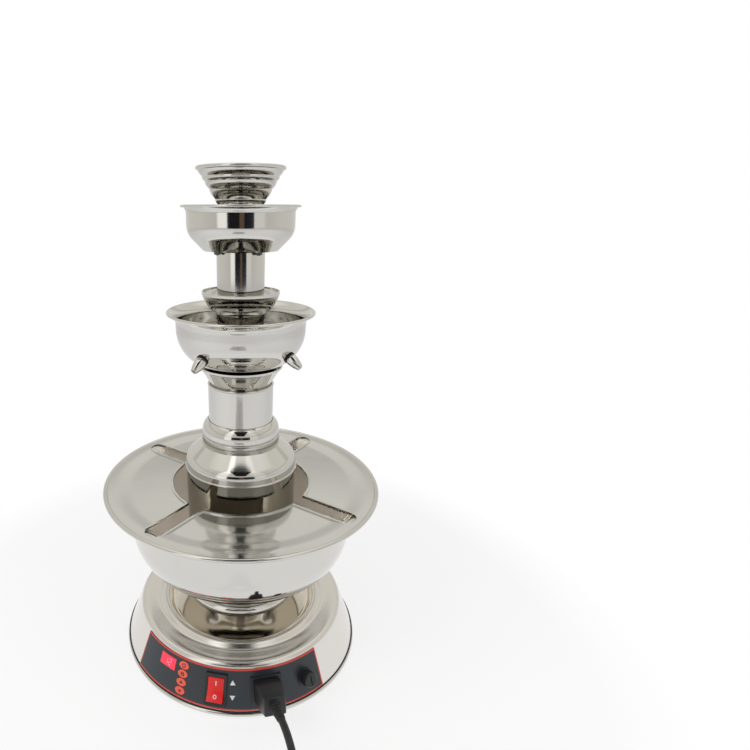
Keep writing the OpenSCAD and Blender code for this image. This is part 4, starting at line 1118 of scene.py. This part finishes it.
class FOUNTAIN_OT_cord(FountainOperator, bpy.types.Operator):
    """Lay the power cord: connector, relief, lead, coil, tie and plug"""

    bl_idname = "fountain.cord"
    bl_label = "Power cord"

    thick = 6.5
    out_end = 53.0
    lead_rise, lead_fall = 50.0, 38.0
    coil = {"centre": (-57.0, -skirt_r(INLET[1]) - out_end * cos(radians(TILT)) - 80.0),
            "r": 49.0, "step": 7.0, "turns_in": 3.0, "turns": 6 + 160 / 360,
            "start": -20.0, "nip": 1.5, "low": 4.25, "climb": 7.0}

    def point(self, t):
        """The cord's middle after a number of turns: inwards on the table, then outwards on top."""
        c = self.coil
        inner = c["r"] - c["step"] * c["turns_in"]
        u = t - c["turns_in"]
        if u < 0:
            r, z = c["r"] - c["step"] * t, c["low"]
        elif u < 0.5:
            r, z = inner - c["nip"] * sin(2 * pi * u), c["low"] + c["climb"] * (1 - cos(2 * pi * u)) / 2
        else:
            r, z = inner + c["step"] * (u - 0.5), c["low"] + c["climb"]
        a = radians(c["start"] - 360 * t)
        return Vector((c["centre"][0] + r * cos(a), c["centre"][1] + r * sin(a), z))

    def way(self, t):
        """The cord's direction after a number of turns."""
        a = radians(self.coil["start"] - 360 * t)
        return Vector((sin(a), -cos(a), 0))

    def route(self):
        """The cord's middle line from the relief to the plug, in millimetres beside the connector."""
        d = self.thick

        def out(s):
            return Vector((0, -skirt_r(INLET[1]) - s * cos(radians(TILT)), INLET[1] + s * sin(radians(TILT))))
        enter = self.point(0) - (d + 0.5) * self.way(0)
        a, b, c = out(self.out_end), out(self.out_end + self.lead_rise), enter - self.lead_fall * self.way(0)
        lead = [(1 - u) ** 3 * a + 3 * u * (1 - u) ** 2 * b + 3 * u * u * (1 - u) * c + u ** 3 * enter
                for u in (i / 30 for i in range(31))]
        turns = self.coil["turns"]
        count = round(36 * turns)
        points = lead + [self.point(turns * i / count) for i in range(count + 1)]
        points.append(self.point(turns) + d * self.way(turns))
        turn = Matrix.Rotation(radians(INLET[0]), 3, "Z")
        return [turn @ p * MM for p in points]

    def execute(self, context):
        points = self.route()
        curve = bpy.data.curves.new("power_cord", "CURVE")
        curve.dimensions = "3D"
        line = curve.splines.new("POLY")
        line.points.add(len(points) - 1)
        for spot, p in zip(line.points, points):
            spot.co = (*p, 1)
        curve.bevel_depth = sizes().cord_diameter / 2
        curve.bevel_resolution = 6
        curve.use_fill_caps = True
        cord = bpy.data.objects.new("power_cord", curve)
        context.scene.collection.objects.link(cord)
        cord.data.materials.append(finish_of("cord sheath"))
        length = sum((b - a).length for a, b in zip(points, points[1:]))
        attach(cord, "base")
        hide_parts("cord_lead", "cord_coil")
        pieces = [self.connector(), self.relief(), self.plug(), self.tie()]
        for piece in (cord, *pieces[2:]):
            piece.visible_glossy = False
        return {"FINISHED"}

    def connector(self):
        wide, tall, seat, step, length = 25, 21.4, 2.6, 11.6, 21.4
        grip = block("connector", wide, tall, seat, step)
        edit(grip)
        pick(grip, "FACE", lambda f: f.normal.z > 0.9)
        bpy.ops.mesh.extrude_region_move(TRANSFORM_OT_translate={"value": (0, 0, length * MM)})
        bpy.ops.transform.resize(value=(0.8, 0.77, 1))
        leave()
        rounded(grip, 1.4, 4, 5)
        nose_w, nose_h, inside = 23.4, 18.8, 12
        nose = block("nose", nose_w, nose_h, -inside, seat + 0.1)
        whole = joined("connector", [grip, nose])
        settle(whole, on_skirt(*INLET))
        return dress(whole, "black plastic", "base", "cord_connector", slot="cord")

    def relief(self):
        r0, r1, length, grooves = 5.5, 3.75, 20.0, 5
        path = [(3.3, 0)]
        for i in range(61):
            s = i / 60
            r = r0 + (r1 - r0) * s
            dip = 0.9 if 0.1 < (s * grooves) % 1 < 0.42 and 0.02 < s < 0.97 else 0.0
            path.append((max(r - dip, 3.5), length * s))
        path.append((3.3, length))
        relief = spun("cord relief", without_doubles(path), steps=40)
        settle(relief, on_skirt(*INLET) @ shifted(0, 0, self.out_end - length))
        return dress(relief, "rubber", "base", "cord_relief", slot="cord")

    def plug(self):
        neck, length, wide, thick = 20.0, 34.0, 26, 22.5
        pin_w, pin_h, pin_l, pin_x = 1.5, 6.4, 17, 6.3
        earth_r, earth_l, earth_y = 2.4, 19, 6
        front = neck + length
        taper = [(0.2, 0), (3.75, 0), (5.0, neck * 0.5), (5.75, neck + 1), (0.2, neck + 1)]
        root = spun("plug neck", taper, steps=40)
        grip = block("plug grip", wide, thick, neck, front)
        edit(grip)
        pick(grip, "FACE", lambda f: f.normal.z < -0.9)
        bpy.ops.transform.resize(value=(0.46, 0.5, 1))
        leave()
        rounded(grip, 2.2, 4, 20)
        pins = [block("pin", pin_w, pin_h, front - 0.5, front + pin_l) for _ in range(2)]
        for side, pin in zip((-1, 1), pins):
            rounded(pin, 0.3, 2)
            settle(pin, shifted(side * pin_x, 0))
        earth = disc("earth pin", earth_r, front - 0.5, front + earth_l, vertices=24)
        rounded(earth, 0.8, 3)
        settle(earth, shifted(0, -earth_y))
        turns = self.coil["turns"]
        end = self.point(turns) + self.thick * self.way(turns)
        place = (turned(INLET[0]) @ shifted(*end)
                 @ turned(self.coil["start"] - 360 * turns)
                 @ turned(90, "X"))
        body = joined("plug", [root, grip])
        settle(body, place)
        dress(body, "black plastic", "base", "cord_plug", slot="cord")
        blades = joined("plug pins", [*pins, earth])
        settle(blades, place)
        dress(blades, "brass", "base", slot="brass")
        blades.visible_glossy = False
        return body

    def tie(self):
        low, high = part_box("cord_tie")
        wide, tall, line, bearing = 28.9, 15.3, 0.8, 100
        band = block("cord tie", wide, 9, -tall / 2, tall / 2)
        opened(band, line, "y")
        rounded(band, 0.25, 2, 40)
        c = self.coil
        middle_r = c["r"] - c["step"] * c["turns_in"] / 2
        place = (turned(INLET[0])
                 @ shifted(*c["centre"])
                 @ turned(bearing)
                 @ Matrix.Translation((middle_r * MM, 0, (low.z + high.z) / 2)))
        settle(band, place)
        return dress(band, "black plastic", "base", "cord_tie", slot="black_plastic")


class FOUNTAIN_OT_fittings(FountainOperator, bpy.types.Operator):
    """Finish the remaining frame pieces: inlet, fuse, fasteners, boards and pump"""

    bl_idname = "fountain.fittings"
    bl_label = "Fittings"

    finishes = {
        "rubber": "rubber_feet",
        "satin sheet": "bottom_plate power_supply",
        "zinc": "base_screws nozzle_nuts pump_shaft",
        "dark steel": "bowl_bolts",
        "black plastic": "display_module inlet_housing fuse_holder fuse_cap pump_body pump_cover",
        "white plastic": "impeller riser_tube fuse_link",
        "board": "key_board control_board",
        "brass": "inlet_pins board_standoffs stem_tube stem_nuts pump_bushes",
        "magnet": "magnet_rotor",
    }
    edged = "inlet_housing fuse_holder fuse_cap bowl_bolts base_screws rubber_feet"

    def execute(self, context):
        for name, nodes in self.finishes.items():
            for node in nodes.split():
                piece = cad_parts[node]
                piece.data.materials.clear()
                piece.data.materials.append(finish_of(name))
        for node in self.edged.split():
            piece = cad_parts[node]
            weld = piece.modifiers.new("weld", "WELD")
            weld.merge_threshold = 0.01 * MM
            bevel = piece.modifiers.new("edge", "BEVEL")
            bevel.width = sizes().edge * 0.6
            bevel.segments = 2
            bevel.limit_method = "ANGLE"
            bevel.angle_limit = radians(40)
            smooth(piece, 35)
        return {"FINISHED"}


class FOUNTAIN_OT_stage(FountainOperator, bpy.types.Operator):
    """Set up the camera, the floor, the soft lights and what the steel reflects"""

    bl_idname = "fountain.stage"
    bl_label = "Studio"

    # The camera's bearing round the tower and how far it looks down, in degrees
    bearing, look_down = 7.8, 22.07

    def execute(self, context):
        self.camera(context)
        self.floor()
        self.lights(context)
        self.world(context)
        self.room()
        context.scene.view_settings.view_transform = "Standard"
        return {"FINISHED"}

    def camera(self, context):
        data = bpy.data.cameras.new("camera")
        data.sensor_width = 36
        data.lens = studio().lens
        data.shift_x, data.shift_y = 0.179, 0.06
        data.clip_start = 0.01
        camera = bpy.data.objects.new("camera", data)
        camera.location = (0.0652, -0.4759, 0.4508)
        camera.rotation_euler = (radians(90 - self.look_down), 0, radians(self.bearing))
        context.scene.collection.objects.link(camera)
        context.scene.camera = camera

    def floor(self):
        clear()
        bpy.ops.mesh.primitive_circle_add(vertices=96, radius=6.0, fill_type="NGON", location=(0, 0, 0))
        floor = bpy.context.object
        floor.name = "floor"
        material, nodes, _ = finish(
            "pale floor", base_color=rgba(studio().floor), roughness=0.9, specular_ior_level=0.1)
        tree = material.node_tree
        shader = Value(nodes, tree.nodes["Principled BSDF"].outputs[0])
        glow = nodes.add("ShaderNodeEmission", None, {"Color": (1, 1, 1, 1), "Strength": 1.0})
        x, y, _ = nodes.place()[1]
        near_r, growth, least = 0.14, 3.2, 0.72
        far = ((x * x + y * y) ** 0.5 - near_r) * growth
        share = far.maths("MAXIMUM", far.maths("MINIMUM", far, 1.0), least)
        seen, mirrored = nodes.rays("Camera", "Glossy")
        in_steel = 2.77 - share * 2.57
        shown = share * seen + mirrored * in_steel
        mix = nodes.add("ShaderNodeMixShader", None, {0: shown, 1: shader, 2: glow})
        tree.links.new(mix.socket, tree.nodes["Material Output"].inputs["Surface"])
        floor.data.materials.append(material)

    def lights(self, context):
        for name, power, size, place, aim in (
                ("key light", studio().key_power, 0.9, (-0.9, -0.7, 1.2), (0, 0, 0.2)),
                ("fill light", studio().fill_power, 1.2, (1.1, -0.4, 1.0), (0, 0, 0.2))):
            data = bpy.data.lights.new(name, "AREA")
            data.energy = power
            data.size = size
            turn = (Vector(aim) - Vector(place)).to_track_quat("-Z", "Y").to_euler()
            self.place(context, name, data, place, turn)
        for side in (-1, 1):
            data = bpy.data.lights.new("basin light", "AREA")
            data.energy = studio().basin_power
            data.size = 0.04
            self.place(context, "basin light", data, (side * 0.06, -0.082, 0.165), (radians(90), 0, 0))

    def place(self, context, name, data, where, turn):
        light = bpy.data.objects.new(name, data)
        light.location = where
        light.rotation_euler = turn
        light.visible_glossy = False
        light.visible_camera = False
        context.scene.collection.objects.link(light)

    def world(self, context):
        world = bpy.data.worlds.new("studio")
        context.scene.world = world
        world.use_nodes = True
        tree = world.node_tree
        nodes = Nodes(tree)
        seen, mirrored, through = nodes.rays("Camera", "Glossy", "Transmission")
        shown = seen + mirrored + through
        white = shown.maths("MINIMUM", shown, 1.0)
        background = tree.nodes["Background"]
        background.inputs["Color"].default_value = (1, 1, 1, 1)
        tree.links.new((white * 0.35 + 0.65).socket, background.inputs["Strength"])

    def room(self):
        """What only the steel sees: a bright room with two pale strips, dark screens, and a painted shadow on
        the floor in front.
        """
        r = 3.0
        clear()
        bpy.ops.mesh.primitive_uv_sphere_add(segments=96, ring_count=48, radius=r, location=(0, 0, 0))
        dome = bpy.context.object
        dome.name = "room"
        edit(dome)
        pick(dome, "FACE", lambda f: f.calc_center_median().z < -0.05)
        bpy.ops.mesh.delete(type="FACE")
        leave()
        settle(dome)
        nodes, (x, y, z) = self.glow(dome, "room")
        side = x.maths("ARCTAN2", x, y * -1.0) * (180 / pi) - self.bearing
        dim, pale, white = (0.79, 0.78, 0.75), (0.90, 0.89, 0.86), (1.4, 1.4, 1.4)
        strip, band = (0.98, 0.98, 0.97), (0.70, 0.69, 0.66)
        wall = nodes.add("ShaderNodeValToRGB", {"stops": [
            (0.0, pale), (0.25, pale), (0.36, dim), (0.372, white), (0.418, white), (0.428, dim),
            (0.565, dim), (0.58, strip), (0.63, strip), (0.65, dim),
            (0.75, pale), (1.0, pale)]}, {0: side / 360 + 0.5})
        height = nodes.add("ShaderNodeValToRGB", {"stops": [
            (0.0, (0.84, 0.83, 0.81)), (0.38, (0.90, 0.89, 0.87)), (0.45, band), (0.49, band),
            (0.55, (0.92, 0.905, 0.87)), (0.75, (0.88, 0.86, 0.82)), (0.88, (1.15, 1.14, 1.12)),
            (1.0, (1.3, 1.29, 1.27))]}, {0: z / r})
        self.show(nodes, nodes.add("ShaderNodeVectorMath", {"operation": "MULTIPLY"}, {0: wall, 1: height}))
        black, brown, grey = (0.012, 0.012, 0.014), (0.13, 0.085, 0.06), (0.62, 0.60, 0.58)
        shade = [(0.0, (0.05, 0.05, 0.055)), (0.1, black), (0.44, black), (0.48, brown), (0.6, brown),
                 (0.64, black), (0.9, (0.02, 0.025, 0.035)), (1.0, (0.06, 0.06, 0.065))]
        self.card("dark screen", shade, 0.80, (0.80, 0.28), (0, -0.80, 0.41), 90)
        self.card("overhead screen", [(0.0, black), (1.0, black)], 0.40, (0.40, 0.80), (0, -0.66, 0.9), 0)
        # a grey card lying on the floor in front, seen only in the steel: painted shadow on the floor before
        # the fountain
        self.card("floor shadow card", [(0.0, grey), (0.5, (0.45, 0.44, 0.42)), (1.0, grey)], 0.30, (0.30, 0.3),
                  (-0.05, -0.68, 0.002), 0)

    def card(self, name, stops, width, size, place, lean):
        """A flat screen, placed along the camera's bearing, whose shades run across it."""
        clear()
        bpy.ops.mesh.primitive_plane_add(size=1, location=place, rotation=(radians(lean), 0, 0))
        piece = bpy.context.object
        piece.name = name.replace(" ", "_")
        piece.scale = (*size, 1)
        settle(piece)
        bearing = radians(self.bearing)
        settle(piece, Matrix.Rotation(bearing, 4, "Z"))
        nodes, (x, y, z) = self.glow(piece, name)
        across = (x * cos(bearing) + y * sin(bearing) - place[0]) / width + 0.5
        self.show(nodes, nodes.add("ShaderNodeValToRGB", {"stops": stops}, {0: across}))

    def glow(self, card, name):
        """A self-lit card that only reflections show."""
        material = bpy.data.materials.new(name)
        material.use_nodes = True
        tree = material.node_tree
        tree.nodes.remove(tree.nodes["Principled BSDF"])
        card.data.materials.append(material)
        for ray in ("camera", "diffuse", "transmission", "shadow", "volume_scatter"):
            setattr(card, f"visible_{ray}", False)
        nodes = Nodes(tree)
        return nodes, nodes.place()[1]

    def show(self, nodes, colour):
        glow = nodes.add("ShaderNodeEmission", None, {"Color": colour, "Strength": 1.0})
        nodes.tree.links.new(glow.socket, nodes.tree.nodes["Material Output"].inputs["Surface"])


class FOUNTAIN_PT_build(bpy.types.Panel):
    """Lists the build steps"""

    bl_label = "Beverage fountain"
    bl_idname = "FOUNTAIN_PT_build"
    bl_space_type = "VIEW_3D"
    bl_region_type = "UI"
    bl_category = "Fountain"

    def draw(self, context):
        for step in STEPS:
            self.layout.operator(step.bl_idname)
        for group in (sizes(), colours(), studio()):
            for key in group.__annotations__:
                self.layout.prop(group, key)


STEPS = (FOUNTAIN_OT_stage, FOUNTAIN_OT_cord, FOUNTAIN_OT_base, FOUNTAIN_OT_panel, FOUNTAIN_OT_keys,
         FOUNTAIN_OT_switch, FOUNTAIN_OT_basin, FOUNTAIN_OT_tower, FOUNTAIN_OT_fittings)
GROUPS = {"fountain_sizes": FountainSizes, "fountain_colours": FountainColours,
          "fountain_studio": FountainStudio}


def register():
    for cls in (*GROUPS.values(), *STEPS, FOUNTAIN_PT_build):
        bpy.utils.register_class(cls)
    for name, group in GROUPS.items():
        setattr(bpy.types.Scene, name, bpy.props.PointerProperty(type=group))


def unregister():
    for name in GROUPS:
        delattr(bpy.types.Scene, name)
    for cls in (FOUNTAIN_PT_build, *reversed(STEPS), *reversed(GROUPS.values())):
        bpy.utils.unregister_class(cls)


def main():
    register()
    for step in STEPS:
        group, name = step.bl_idname.split(".")
        getattr(getattr(bpy.ops, group), name)()
    clear()


if __name__ == "__main__":
    main()
